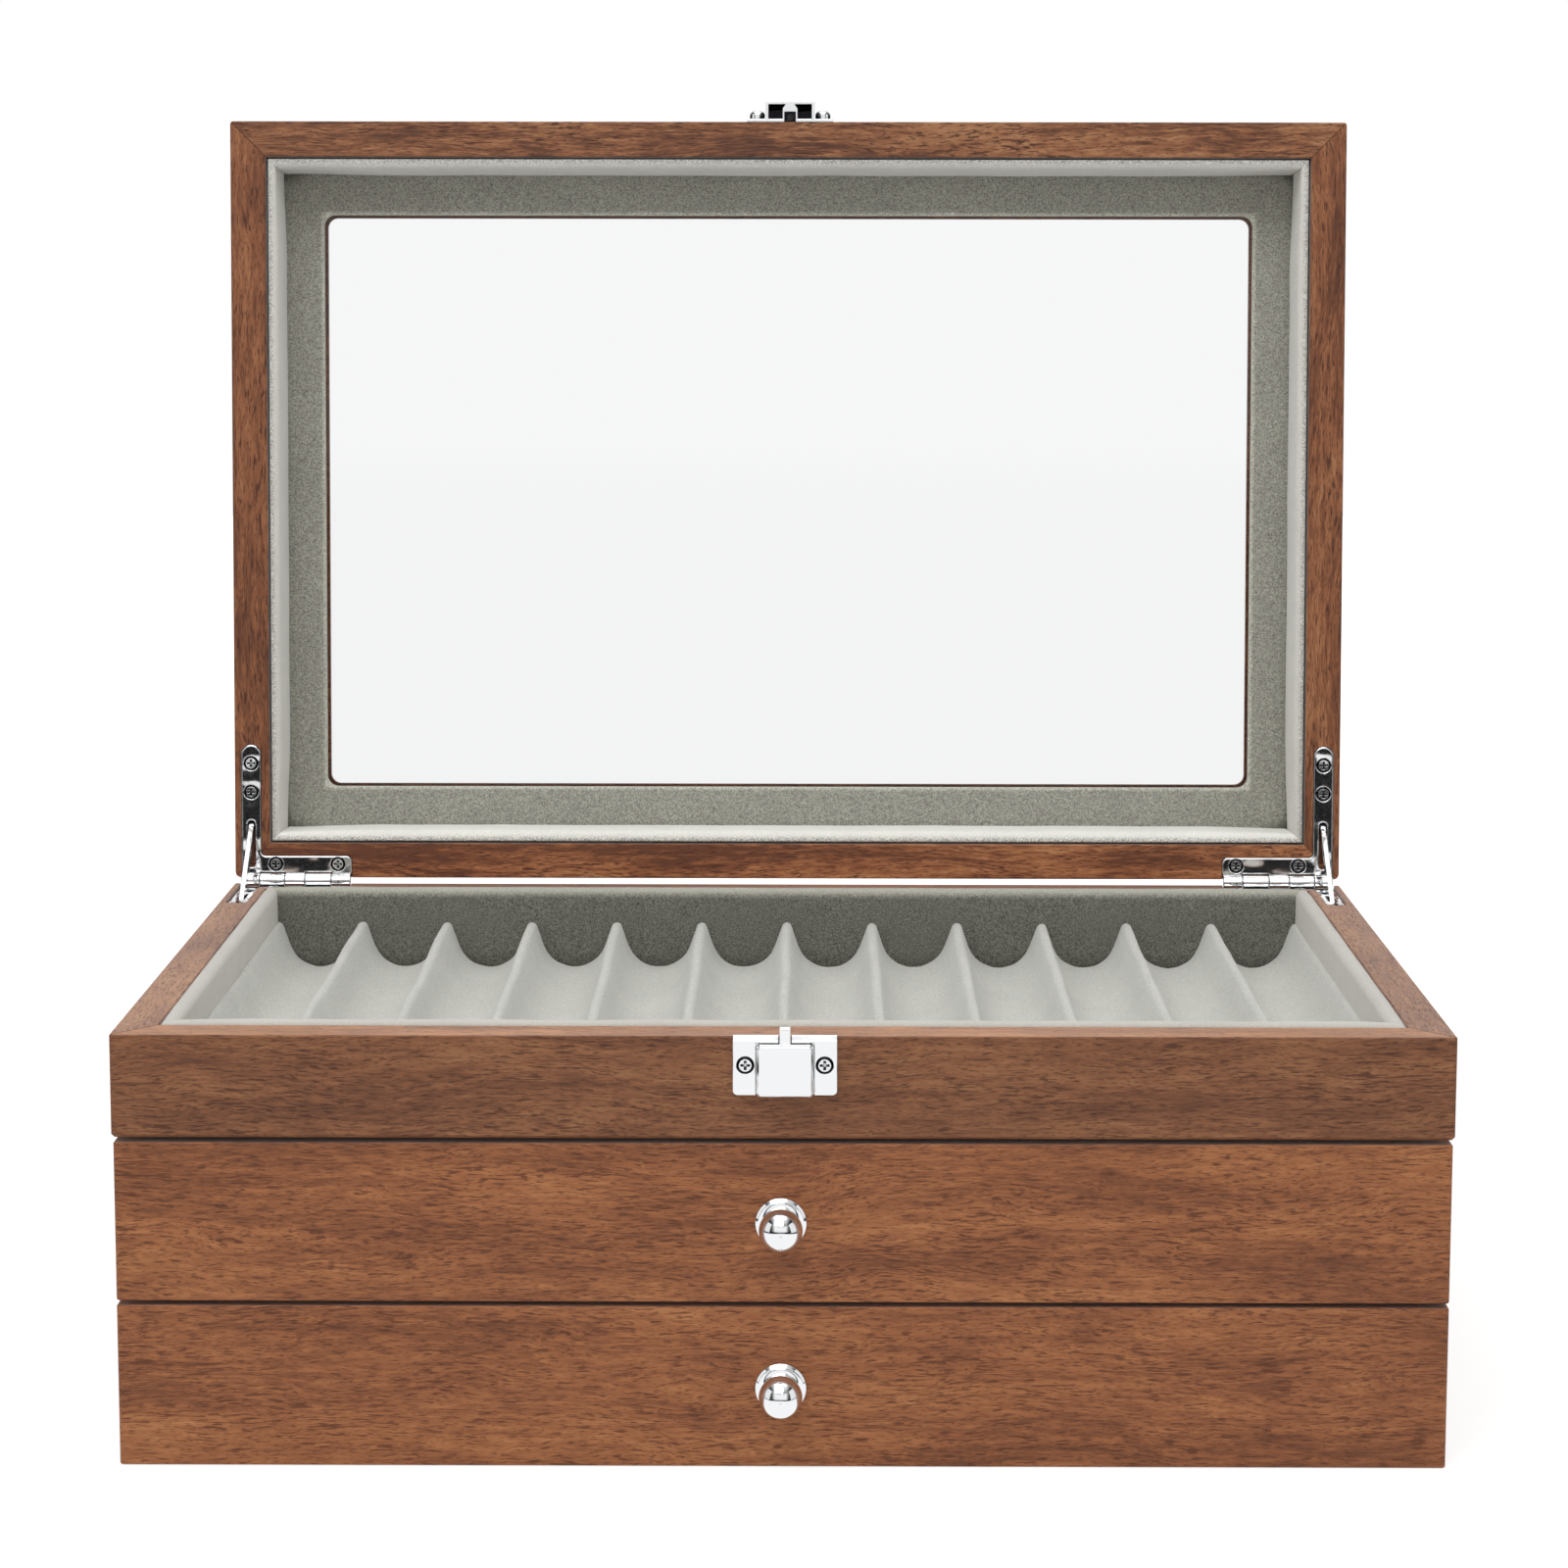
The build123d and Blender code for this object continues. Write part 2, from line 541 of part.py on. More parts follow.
def lid_keeper():
    """The keeper on the front of the lid, lid shut: a hollow body between two
    flanges."""
    half = KEEPER_WIDTH / 2
    high = LID_RIM_Z + KEEPER_HEIGHT
    flange_y = FRONT_Y - KEEPER_FLANGE
    keeper = box((LATCH_X - half, flange_y, LID_RIM_Z), (LATCH_X + half, FRONT_Y, high))
    body_half = KEEPER_BODY / 2
    front_y = FRONT_Y - KEEPER_PROUD
    body = box((LATCH_X - body_half, front_y, LID_RIM_Z), (LATCH_X + body_half, FRONT_Y, high))
    along_x = body.edges().filter_by(Axis.X)
    keeper += chamfer(along_x.sort_by_distance((0, front_y, high))[0], 1.2)
    inside = body_half - KEEPER_SKIN
    keeper -= box(
        (LATCH_X - inside, front_y + KEEPER_SKIN, LID_RIM_Z - 1),
        (LATCH_X + inside, FRONT_Y - KEEPER_SKIN, high - KEEPER_ROOF),
    )
    tongue, shaft = keeper_tongue()
    keeper = keeper + tongue - shaft
    for x in keeper_screw_xs():
        keeper -= rod_y(x, keeper_screw_z(), SCREW_SHANK, flange_y, FRONT_Y)
    return keeper


def keeper_screw_xs():
    """The keeper's two screws stand in its flanges."""
    return [LATCH_X + side * LATCH_SCREW_OFFSET for side in (-1, 1)]


def keeper_screw_z():
    """Height of the keeper's screws, lid shut."""
    return LID_RIM_Z + KEEPER_HEIGHT / 2


def keeper_screws():
    """Both keeper screws, lid shut, one group."""
    screws = []
    for x in keeper_screw_xs():
        place = Pos(x, FRONT_Y - KEEPER_FLANGE, keeper_screw_z())
        screws.append(place * Rot(90, 0, 0) * round_screw())
    return Compound(children=screws)


# -------------------------------------------------------------------------- case
def mitre_side(wall_front, wall_back):
    """The part of the plan that belongs to the left side, out to its mitres."""
    out = 5.0
    front_run = out * wall_front / WALL
    back_run = out * wall_back / WALL
    return [
        (-SIDE_X - out, FRONT_Y - front_run),
        (-INNER_X, FRONT_Y + wall_front),
        (-INNER_X, BACK_Y - wall_back),
        (-SIDE_X - out, BACK_Y + back_run),
    ]


def mitre_grooves(wall_front, wall_back, z0, z1):
    """Fine grooves along the four mitre lines of a rim."""
    grooves = []
    for side in (-1, 1):
        for edge_y, wall, way in ((FRONT_Y, wall_front, 1), (BACK_Y, wall_back, -1)):
            run = math.hypot(WALL, wall)
            turn = math.degrees(math.atan2(way * wall, -side * WALL))
            middle_x = side * (SIDE_X - WALL / 2)
            middle_y = edge_y + way * wall / 2
            place = Pos(middle_x, middle_y, (z0 + z1) / 2) * Rot(0, 0, turn)
            grooves.append(place * Box(run + 4, MITRE_GROOVE, z1 - z0))
    return grooves


def case_walls():
    """All the upright walls of the case as one block, to be cut at the mitres."""
    low = (-SIDE_X, FRONT_Y, FELT)
    walls = rounded_block(low, (SIDE_X, BACK_Y, RIM_Z), CORNER_ROUND, EASE)
    inside = FRONT_Y + RAIL_WALL
    walls -= box((-INNER_X, inside, FELT - 1), (INNER_X, BACK_Y - WALL, RIM_Z + 1))
    rim = walls.edges().group_by(Axis.Z)[-1]
    walls = chamfer([edge for edge in rim if is_inner(edge)], EASE)
    out = SIDE_X + 1
    walls -= box((-out, FRONT_Y - 1, FELT - 1), (out, CARCASS_Y, RAIL_LOW))
    walls -= box((-INNER_X, CARCASS_Y - 1, FELT - 1), (INNER_X, inside + 1, RAIL_LOW))
    lip = [edge for edge in walls.edges() if is_lip(edge)]
    walls = chamfer(lip, LIP_EASE)
    for groove in mitre_grooves(RAIL_WALL, WALL, RIM_Z - MITRE_GROOVE, RIM_Z + 1):
        walls -= groove
    cut = case_hinge_cut()
    return walls - cut - mirrored(cut)


def is_inner(edge):
    """Whether a rim edge lies on the inside of the walls."""
    middle = edge @ 0.5
    inside_x = abs(middle.X) <= INNER_X + 0.01
    inside_y = FRONT_Y + WALL - 0.01 <= middle.Y <= BACK_Y - WALL + 0.01
    return inside_x and inside_y


def is_lip(edge):
    """Whether an edge is on the outside of the rail's underside."""
    middle = edge @ 0.5
    if abs(middle.Z - RAIL_LOW) > 0.01 or middle.Y > CARCASS_Y - 1:
        return False
    return middle.Y < FRONT_Y + CORNER_ROUND or abs(middle.X) > SIDE_X - 0.01


def side_panel(walls):
    """Left side: full height behind the drawer fronts, mitred to the rail above."""
    upper = walls & plan_prism(mitre_side(RAIL_WALL, WALL), RAIL_LOW, RIM_Z + 1)
    lower = walls & plan_prism(mitre_side(0, WALL), FELT - 1, RAIL_LOW)
    return upper + lower


def mitre_end(edge_y, wall, way):
    """The part of the plan that belongs to the front (way 1) or back (way -1)."""
    out = 5.0
    run = out * WALL / wall
    return [
        (-SIDE_X - run, edge_y - way * out),
        (-INNER_X, edge_y + way * wall),
        (INNER_X, edge_y + way * wall),
        (SIDE_X + run, edge_y - way * out),
    ]


def back_panel(walls):
    """Back, mitred to both sides."""
    return walls & plan_prism(mitre_end(BACK_Y, WALL, -1), FELT - 1, RIM_Z + 1)


def front_rail(walls):
    """The front of the top tray, mitred to both sides, with the latch's pocket."""
    rail = walls & plan_prism(mitre_end(FRONT_Y, RAIL_WALL, 1), RAIL_LOW, RIM_Z + 1)
    rail -= button_stem_pocket()
    deep_y = FRONT_Y - LATCH_THICK + SCREW_LENGTH
    for x, z in latch_screw_spots():
        rail -= rod_y(x, z, SCREW_SHANK, FRONT_Y - 1, deep_y)
    return rail


def shelf(z, thick):
    """A board across the case between its sides."""
    return box((-INNER_X, CARCASS_Y, z), (INNER_X, BACK_Y - WALL, z + thick))


def base_felt():
    """The felt sheet that the chest rests on."""
    inset = 6.0
    sheet = box(
        (-SIDE_X + inset, CARCASS_Y + inset, 0),
        (SIDE_X - inset, BACK_Y - inset, FELT),
    )
    return fillet(sheet.edges().filter_by(Axis.Z), 4.0)


def liner_y_span():
    """The inner faces of the front and back liners."""
    return FRONT_Y + RAIL_WALL + LINER, BACK_Y - WALL - LINER


def liner_wall(points, z0, z1, radius):
    """A velvet-covered board with a rounded top, on a four-point plan."""
    wall = plan_prism(points, z0, z1)
    tops = wall.edges().group_by(Axis.Z)[-1]
    longest = tops.sort_by(SortBy.LENGTH)[-2:]
    return fillet(longest, radius)


def top_liners():
    """The four boards round the top tray, mitred at the corners."""
    y0 = FRONT_Y + RAIL_WALL
    y1 = BACK_Y - WALL
    front_y, back_y = liner_y_span()
    x0 = INNER_X
    x1 = INNER_X - LINER
    plans = {
        "front": [(-x0, y0), (x0, y0), (x1, front_y), (-x1, front_y)],
        "back": [(-x0, y1), (-x1, back_y), (x1, back_y), (x0, y1)],
        "left": [(-x0, y0), (-x1, front_y), (-x1, back_y), (-x0, y1)],
        "right": [(x0, y0), (x0, y1), (x1, back_y), (x1, front_y)],
    }
    top = RIM_Z + LINER_RISE
    return {name: liner_wall(plan, RAIL_LOW, top, 2.2) for name, plan in plans.items()}


def scalloped_tray(half_width, y0, y1, base_z, slots):
    """A padded pen tray: round valleys between narrow ridges, along Y."""
    pitch = 2 * half_width / slots
    slope = math.radians(FLANK_ANGLE)
    sine = math.sin(slope)
    rise = 1 - math.cos(slope)
    grade = math.tan(slope)
    run = pitch / 2 - SLOT_RADIUS * sine
    crest = (run * grade - SLOT_DEPTH + SLOT_RADIUS * rise) / (sine * grade - rise)
    floor_z = base_z + TRAY_FLOOR
    top_z = floor_z + SLOT_DEPTH
    crest_x = crest * sine
    crest_z = top_z - crest * rise
    foot_x = SLOT_RADIUS * sine
    foot_z = floor_z + SLOT_RADIUS * rise
    edges = []
    for i in range(slots):
        left = -half_width + i * pitch
        middle = left + pitch / 2
        right = left + pitch
        mid_x = crest * math.sin(slope / 2)
        mid_z = top_z - crest * (1 - math.cos(slope / 2))
        half_left = ThreePointArc(
            (left, top_z), (left + mid_x, mid_z), (left + crest_x, crest_z)
        )
        down = Line((left + crest_x, crest_z), (middle - foot_x, foot_z))
        valley = ThreePointArc(
            (middle - foot_x, foot_z), (middle, floor_z), (middle + foot_x, foot_z)
        )
        up = Line((middle + foot_x, foot_z), (right - crest_x, crest_z))
        half_right = ThreePointArc(
            (right - crest_x, crest_z), (right - mid_x, mid_z), (right, top_z)
        )
        edges += [half_left, down, valley, up, half_right]
    sides = Polyline(
        (half_width, top_z), (half_width, base_z), (-half_width, base_z), (-half_width, top_z)
    )
    edges += list(sides.edges())
    section = Plane.XZ * make_face(Wire(edges))
    return Pos(0, y1, 0) * extrude(section, y1 - y0)


def top_pen_tray():
    front_y, back_y = liner_y_span()
    return scalloped_tray(INNER_X - LINER, front_y, back_y, RAIL_LOW, TOP_SLOTS)


# --------------------------------------------------------------------------- lid
def lid_walls():
    """The lid's four walls as one ring, lid shut, to be cut at the mitres."""
    low = (-SIDE_X, FRONT_Y, LID_RIM_Z)
    ring = box(low, (SIDE_X, BACK_Y, BOARD_Z))
    uprights = ring.edges().filter_by(Axis.Z).group_by(Axis.Y)
    ring = fillet(uprights[0], CORNER_ROUND)
    uprights = ring.edges().filter_by(Axis.Z).group_by(Axis.Y)
    ring = fillet(uprights[-1], LID_BACK_ROUND)
    ring = chamfer(ring.edges().group_by(Axis.Z)[0], EASE)
    y0 = FRONT_Y + WALL
    ring -= box((-INNER_X, y0, LID_RIM_Z - 1), (INNER_X, BACK_Y - WALL, BOARD_Z + 1))
    rim = ring.edges().group_by(Axis.Z)[0]
    ring = chamfer([e for e in rim if is_inner(e)], EASE)
    for groove in mitre_grooves(WALL, WALL, LID_RIM_Z - 1, LID_RIM_Z + MITRE_GROOVE):
        ring -= groove
    cut = lid_hinge_cut()
    return ring - cut - mirrored(cut)


def lid_frame():
    """The lid's four mitred members, lid shut, with the hinges let in."""
    walls = lid_walls()
    low, high = LID_RIM_Z - 1, BOARD_Z
    front = walls & plan_prism(mitre_end(FRONT_Y, WALL, 1), low, high)
    deep_y = FRONT_Y - KEEPER_FLANGE - ROUND_HEAD + SCREW_LENGTH
    for x in keeper_screw_xs():
        front -= rod_y(x, keeper_screw_z(), SCREW_SHANK, FRONT_Y - 1, deep_y)
    left = walls & plan_prism(mitre_side(WALL, WALL), low, high)
    return {
        "lid_rail_front": front,
        "lid_rail_back": walls & plan_prism(mitre_end(BACK_Y, WALL, -1), low, high),
        "lid_stile_left": left,
        "lid_stile_right": mirrored(left),
    }


def window_prism(grow, z0, z1):
    """A round-cornered prism the shape of the window, larger by grow all round."""
    width = WINDOW[0] + 2 * grow
    depth = WINDOW[1] + 2 * grow
    radius = WINDOW_RADIUS + max(grow, 0) * 0.5
    return Pos(0, 0, z0) * extrude(RectangleRounded(width, depth, radius), z1 - z0)


def glass_size():
    return WINDOW[0] + 2 * GLASS_LAP, WINDOW[1] + 2 * GLASS_LAP


def lid_top_frame():
    """The board that frames the glass, rebated underneath for the pane."""
    board = box((-SIDE_X, FRONT_Y, BOARD_Z), (SIDE_X, BACK_Y, LID_TOP_Z))
    board = chamfer(board.edges().group_by(Axis.Z)[-1], 0.8)
    board -= window_prism(0, BOARD_Z - 1, LID_TOP_Z + 1)
    width, depth = glass_size()
    half_x = width / 2 + FIT
    half_y = depth / 2 + FIT
    rebate = box((-half_x, -half_y, BOARD_Z - 1), (half_x, half_y, BOARD_Z + GLASS_THICK))
    return board - rebate


def lid_glass():
    width, depth = glass_size()
    return box((-width / 2, -depth / 2, BOARD_Z), (width / 2, depth / 2, BOARD_Z + GLASS_THICK))


def lid_mat():
    """The velvet-covered board round the window, inside the lid."""
    y0 = FRONT_Y + WALL
    y1 = BACK_Y - WALL
    mat = box((-INNER_X, y0, MAT_Z), (INNER_X, y1, BOARD_Z))
    return mat - window_prism(MAT_REVEAL, MAT_Z - 1, BOARD_Z + 1)


def lid_bolsters():
    """The four padded velvet walls inside the lid, mitred at the corners, lid shut."""
    x0 = INNER_X - 0.4
    x1 = x0 - BOLSTER
    y0 = FRONT_Y + WALL + 0.4
    y1 = y0 + BOLSTER
    y3 = BACK_Y - WALL - 0.4
    y2 = y3 - BOLSTER
    plans = {
        "front": [(-x0, y0), (x0, y0), (x1, y1), (-x1, y1)],
        "back": [(-x0, y3), (-x1, y2), (x1, y2), (x0, y3)],
        "left": [(-x0, y0), (-x1, y1), (-x1, y2), (-x0, y3)],
        "right": [(x0, y0), (x0, y3), (x1, y2), (x1, y1)],
    }
    low = LID_RIM_Z + BOLSTER_RECESS
    bolsters = {}
    for name, plan in plans.items():
        wall = plan_prism(plan, low, MAT_Z)
        rims = wall.edges().group_by(Axis.Z)[0].sort_by(SortBy.LENGTH)[-2:]
        bolsters[name] = fillet(rims, 2.3)
    return bolsters


# ----------------------------------------------------------------------- drawers
def drawer_span():
    """Front and back faces of a drawer's box behind its front, as y."""
    return FRONT_Y + FRONT_THICK, BACK_Y - WALL - DRAWER_BACK_GAP


def drawer(front_z, bay):
    """One drawer's pieces, shut, by name; front_z is its front's lower and upper edge."""
    outer_x = INNER_X - DRAWER_SIDE_GAP
    inner_x = outer_x - DRAWER_WALL
    y0, y1 = drawer_span()
    z0 = bay[0] + DRAWER_UNDER_GAP
    z1 = bay[1] - DRAWER_OVER_GAP
    front_x = SIDE_X - FRONT_INSET
    knob_z = front_z[0] + KNOB_ABOVE_BOTTOM
    front = box((-front_x, FRONT_Y, front_z[0]), (front_x, y0, front_z[1]))
    face_ends = front.edges().filter_by(Axis.Z).group_by(Axis.Y)[0]
    front = fillet(face_ends, CORNER_ROUND)
    front = chamfer(front.edges().filter_by(Axis.X), EASE)
    front -= rod_y(KNOB_X, knob_z, KNOB_SCREW_RADIUS, FRONT_Y - 1, y0 + 1)
    front -= rod_y(KNOB_X, knob_z, KNOB_SCREW_HEAD + 0.3, y0 - 2.6, y0 + 1)
    left = box((-outer_x, y0, z0), (-inner_x, y1, z1))
    back = box((-inner_x, y1 - DRAWER_WALL, z0), (inner_x, y1, z1))
    bottom = box((-inner_x, y0, z0), (inner_x, y1 - DRAWER_WALL, z0 + DRAWER_BOTTOM))
    floor_z = z0 + DRAWER_BOTTOM
    liner_top = z1 - DRAWER_LINER_DROP
    inside_y = y1 - DRAWER_WALL
    ring = box((-inner_x, y0, floor_z), (inner_x, inside_y, liner_top))
    well_x = inner_x - DRAWER_LINER
    well_y0 = y0 + DRAWER_LINER
    well_y1 = inside_y - DRAWER_LINER
    ring -= box((-well_x, well_y0, floor_z - 1), (well_x, well_y1, liner_top + 1))
    ring = fillet(ring.edges().group_by(Axis.Z)[-1], 1.6)
    tray = scalloped_tray(well_x, well_y0, well_y1, floor_z, DRAWER_SLOTS)
    return {
        "front": front,
        "side_left": left,
        "side_right": mirrored(left),
        "back": back,
        "bottom": bottom,
        "liner": ring,
        "pen_tray": tray,
        "knob": knob(knob_z),
        "knob_screw": knob_screw(knob_z, y0),
    }


def knob(z):
    """A turned knob: flange, waisted cone and ball, tapped from behind."""
    ball_edge = math.sqrt(KNOB_BALL**2 - KNOB_NECK**2)
    neck_out = KNOB_BALL_OUT - ball_edge
    tip_out = KNOB_BALL_OUT + KNOB_BALL
    outline = [
        Line((0, 0), (KNOB_FLANGE, 0)),
        Line((KNOB_FLANGE, 0), (KNOB_FLANGE, 0.9)),
        Line((KNOB_FLANGE, 0.9), (KNOB_FLANGE - 0.7, 1.5)),
        ThreePointArc(
            (KNOB_FLANGE - 0.7, 1.5),
            (KNOB_NECK + 0.75, neck_out * 0.6),
            (KNOB_NECK, neck_out),
        ),
        ThreePointArc(
            (KNOB_NECK, neck_out),
            (KNOB_BALL, KNOB_BALL_OUT),
            (0, tip_out),
        ),
        Line((0, tip_out), (0, 0)),
    ]
    turned = revolve(make_face(Wire(outline)), Axis.Y)
    turned -= rod_y(0, 0, KNOB_SCREW_RADIUS, -1, 7.0)
    return Pos(KNOB_X, FRONT_Y, z) * Rot(180, 0, 0) * turned


def knob_screw(z, back_y):
    """The machine screw that holds a knob from inside the drawer."""
    seat_y = back_y - 2.6
    shank = rod_y(KNOB_X, z, KNOB_SCREW_RADIUS, FRONT_Y - 6.0, seat_y)
    head = rod_y(KNOB_X, z, KNOB_SCREW_HEAD, seat_y, seat_y + 2.2)
    bar = Box(4.4, 2.4, 1.0)
    slot = bar + Rot(0, 90, 0) * bar
    return shank + head - Pos(KNOB_X, seat_y + 2.2, z) * slot


# ------------------------------------------------------------------------ output
def hinge_screws(leg_screws, face_z, turn):
    """The eight screws of both hinges' leaves on one side of the gap, one group."""
    screws = []
    for x, y in leaf_screw_spots(leg_screws):
        for side in (1, -1):
            place = Pos(side * x, y, face_z) * Rot(turn, 0, 0)
            screws.append(place * countersunk_screw())
    return Compound(children=screws)


def case_nodes():
    walls = case_walls()
    left = side_panel(walls)
    nodes = {
        "side_panel_left": left,
        "side_panel_right": mirrored(left),
        "back_panel": back_panel(walls),
        "front_rail": front_rail(walls),
        "bottom_panel": shelf(FELT, BOTTOM),
        "middle_shelf": shelf(MID_SHELF_Z, SHELF),
        "tray_shelf": shelf(TOP_SHELF_Z, SHELF),
        "base_felt": base_felt(),
        "top_pen_tray": top_pen_tray(),
        "latch_plate": latch_plate(),
        "latch_screws": latch_screws(),
        "latch_spring": latch_spring(),
        "hinge_left_case_leaf": case_leaf(),
        "hinge_right_case_leaf": mirrored(case_leaf()),
        "hinge_left_pin": hinge_pin(),
        "hinge_right_pin": mirrored(hinge_pin()),
        "hinge_case_screws": hinge_screws(CASE_LEAF_SCREWS, CASE_LEAF_Z, 0),
    }
    for name, wall in top_liners().items():
        nodes["top_liner_" + name] = wall
    return nodes


def lid_nodes():
    nodes = lid_frame()
    nodes["lid_top_frame"] = lid_top_frame()
    nodes["lid_glass"] = lid_glass()
    nodes["lid_mat"] = lid_mat()
    for name, bolster in lid_bolsters().items():
        nodes["lid_bolster_" + name] = bolster
    nodes["lid_keeper"] = lid_keeper()
    nodes["keeper_screws"] = keeper_screws()
    nodes["hinge_left_lid_leaf"] = lid_leaf()
    nodes["hinge_right_lid_leaf"] = mirrored(lid_leaf())
    nodes["hinge_lid_screws"] = hinge_screws(LID_LEAF_SCREWS, LID_RIM_Z, 180)
    nodes["stay_rivet_left"] = stay_rivet()
    nodes["stay_rivet_right"] = mirrored(stay_rivet())
    return {name: opened(solid) for name, solid in nodes.items()}


def all_nodes():
    nodes = case_nodes()
    nodes.update(lid_nodes())
    nodes["latch_button"] = latch_button()
    nodes["stay_link_left"] = stay_link()
    nodes["stay_link_right"] = mirrored(stay_link())
    for level, front_z, bay in (
        ("upper", UPPER_FRONT_Z, UPPER_BAY),
        ("lower", LOWER_FRONT_Z, LOWER_BAY),
    ):
        for name, solid in drawer(front_z, bay).items():
            nodes[f"drawer_{level}_{name}"] = solid
    return nodes


os.makedirs("parts", exist_ok=True)
for node, solid in all_nodes().items():
    export_step(solid, f"parts/{node}.step")
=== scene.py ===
import json
import math

import bmesh
import bpy
import numpy as np
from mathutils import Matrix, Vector


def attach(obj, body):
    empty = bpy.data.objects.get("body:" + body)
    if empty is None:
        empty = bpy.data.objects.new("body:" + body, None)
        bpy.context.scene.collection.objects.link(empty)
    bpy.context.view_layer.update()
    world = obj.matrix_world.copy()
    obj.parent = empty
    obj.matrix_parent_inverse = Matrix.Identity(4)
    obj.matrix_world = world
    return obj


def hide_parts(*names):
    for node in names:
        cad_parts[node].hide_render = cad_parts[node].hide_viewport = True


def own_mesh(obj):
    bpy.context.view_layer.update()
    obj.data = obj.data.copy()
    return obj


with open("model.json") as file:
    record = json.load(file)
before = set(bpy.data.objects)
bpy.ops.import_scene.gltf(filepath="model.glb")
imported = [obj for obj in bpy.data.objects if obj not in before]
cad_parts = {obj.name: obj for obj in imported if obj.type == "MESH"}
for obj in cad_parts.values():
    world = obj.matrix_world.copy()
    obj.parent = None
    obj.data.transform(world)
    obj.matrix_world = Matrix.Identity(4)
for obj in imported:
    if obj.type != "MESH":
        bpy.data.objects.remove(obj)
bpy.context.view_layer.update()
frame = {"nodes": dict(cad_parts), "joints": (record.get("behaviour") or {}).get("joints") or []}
NODES = frame["nodes"]

MM = 0.001


def joint(name):
    """A joint of the frame, by its name."""
    return next(j for j in frame["joints"] if j["name"] == name)


HINGE = joint("lid_hinge")
AXIS_Y, AXIS_Z = HINGE["pos_m"][1] / MM, HINGE["pos_m"][2] / MM
LID_OPEN = HINGE["range_deg"][1]   # the open lid shuts by turning back this far
LID_TURN = (LID_OPEN, 0, 0)


def turned(points, degrees):
    """Points in mm, turned about the lid's hinge."""
    c, s = math.cos(math.radians(degrees)), math.sin(math.radians(degrees))
    p = np.array(points, float)
    y, z = p[:, 1] - AXIS_Y, p[:, 2] - AXIS_Z
    return np.stack([p[:, 0], AXIS_Y + y * c - z * s, AXIS_Z + y * s + z * c], 1)


def opened(points):
    """Points given with the lid shut, moved to where the open lid has them."""
    return turned(points, -LID_OPEN)


LID_SHIFT = turned([(0, 0, 0)], LID_OPEN)[0]   # with LID_TURN, gives places on the shut lid


def measures(node, shut=False):
    """A CAD node's lowest and highest corners in mm; shut turns the lid back first."""
    points = np.array([v.co for v in NODES[node].data.vertices]) / MM
    if shut:
        points = turned(points, LID_OPEN)
    return points.min(0), points.max(0)


# ------------------------------------------------------------------ small tools
def smooth_step(x):
    x = np.clip(x, 0.0, 1.0)
    return x * x * (3 - 2 * x)


def quarter(steps):
    """1 - cos and 1 - sin at even steps of a quarter turn, for rounded edges."""
    turns = [math.pi / 2 * k / steps for k in range(steps + 1)]
    return [(1 - math.cos(a), 1 - math.sin(a)) for a in turns]


WAVES = 7           # sines that add up to one unevenness
WAVES_SUM = 4.0     # what they seldom add up to more than


def wave(x, y, seed, size):
    """A smooth, repeatable unevenness between about -1 and 1, size in mm."""
    rng = np.random.default_rng(seed)
    total = np.zeros(np.broadcast(x, y).shape)
    for _ in range(WAVES):
        angle = rng.uniform(0, math.tau)
        step = math.tau / (size * rng.uniform(0.55, 1.7))
        phase = rng.uniform(0, math.tau)
        total = total + np.sin(step * (x * math.cos(angle) + y * math.sin(angle)) + phase)
    return total / WAVES_SUM


def make(name, points, faces, body, material, node=None, smooth=True):
    """A mesh piece from points in mm; it rides on body and may replace a CAD node."""
    mesh = bpy.data.meshes.new(name)
    mesh.from_pydata([tuple(p) for p in np.array(points) * MM], [], faces)
    mesh.validate()
    for poly in mesh.polygons:
        poly.use_smooth = smooth
    obj = bpy.data.objects.new(name, mesh)
    bpy.context.scene.collection.objects.link(obj)
    obj.data.materials.append(material)
    outward(obj)
    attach(obj, body)
    if node:
        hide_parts(node)
    return obj


def outward(obj):
    """All faces of a closed mesh turned to face out."""
    bm = bmesh.new()
    bm.from_mesh(obj.data)
    bmesh.ops.recalc_face_normals(bm, faces=bm.faces)
    bm.to_mesh(obj.data)
    bm.free()


def loft(sections, closed):
    """Faces between sections of equal point count; closed joins the last to the first.
    The points of each section form a loop. Open lofts get end caps."""
    count = len(sections)
    size = len(sections[0])
    points = np.concatenate(sections)
    faces = []
    for i in range(count if closed else count - 1):
        a, b = i * size, ((i + 1) % count) * size
        for j in range(size):
            k = (j + 1) % size
            faces.append((a + j, a + k, b + k, b + j))
    if not closed:
        faces.append(tuple(range(size - 1, -1, -1)))
        faces.append(tuple((count - 1) * size + j for j in range(size)))
    return points, faces


def mitred(half, profile, place, steps):
    """A padded member between two mitres: profile(t) gives (in, up) loops."""
    sections = []
    # stations crowd towards the ends, where the form changes quickest
    ts = np.sin(np.linspace(-math.pi / 2, math.pi / 2, steps))
    for t in ts:
        loop = np.array(profile(t))
        s = t * (half - loop[:, 0])
        sections.append(place(s, loop[:, 0], loop[:, 1]))
    return loft(sections, False)


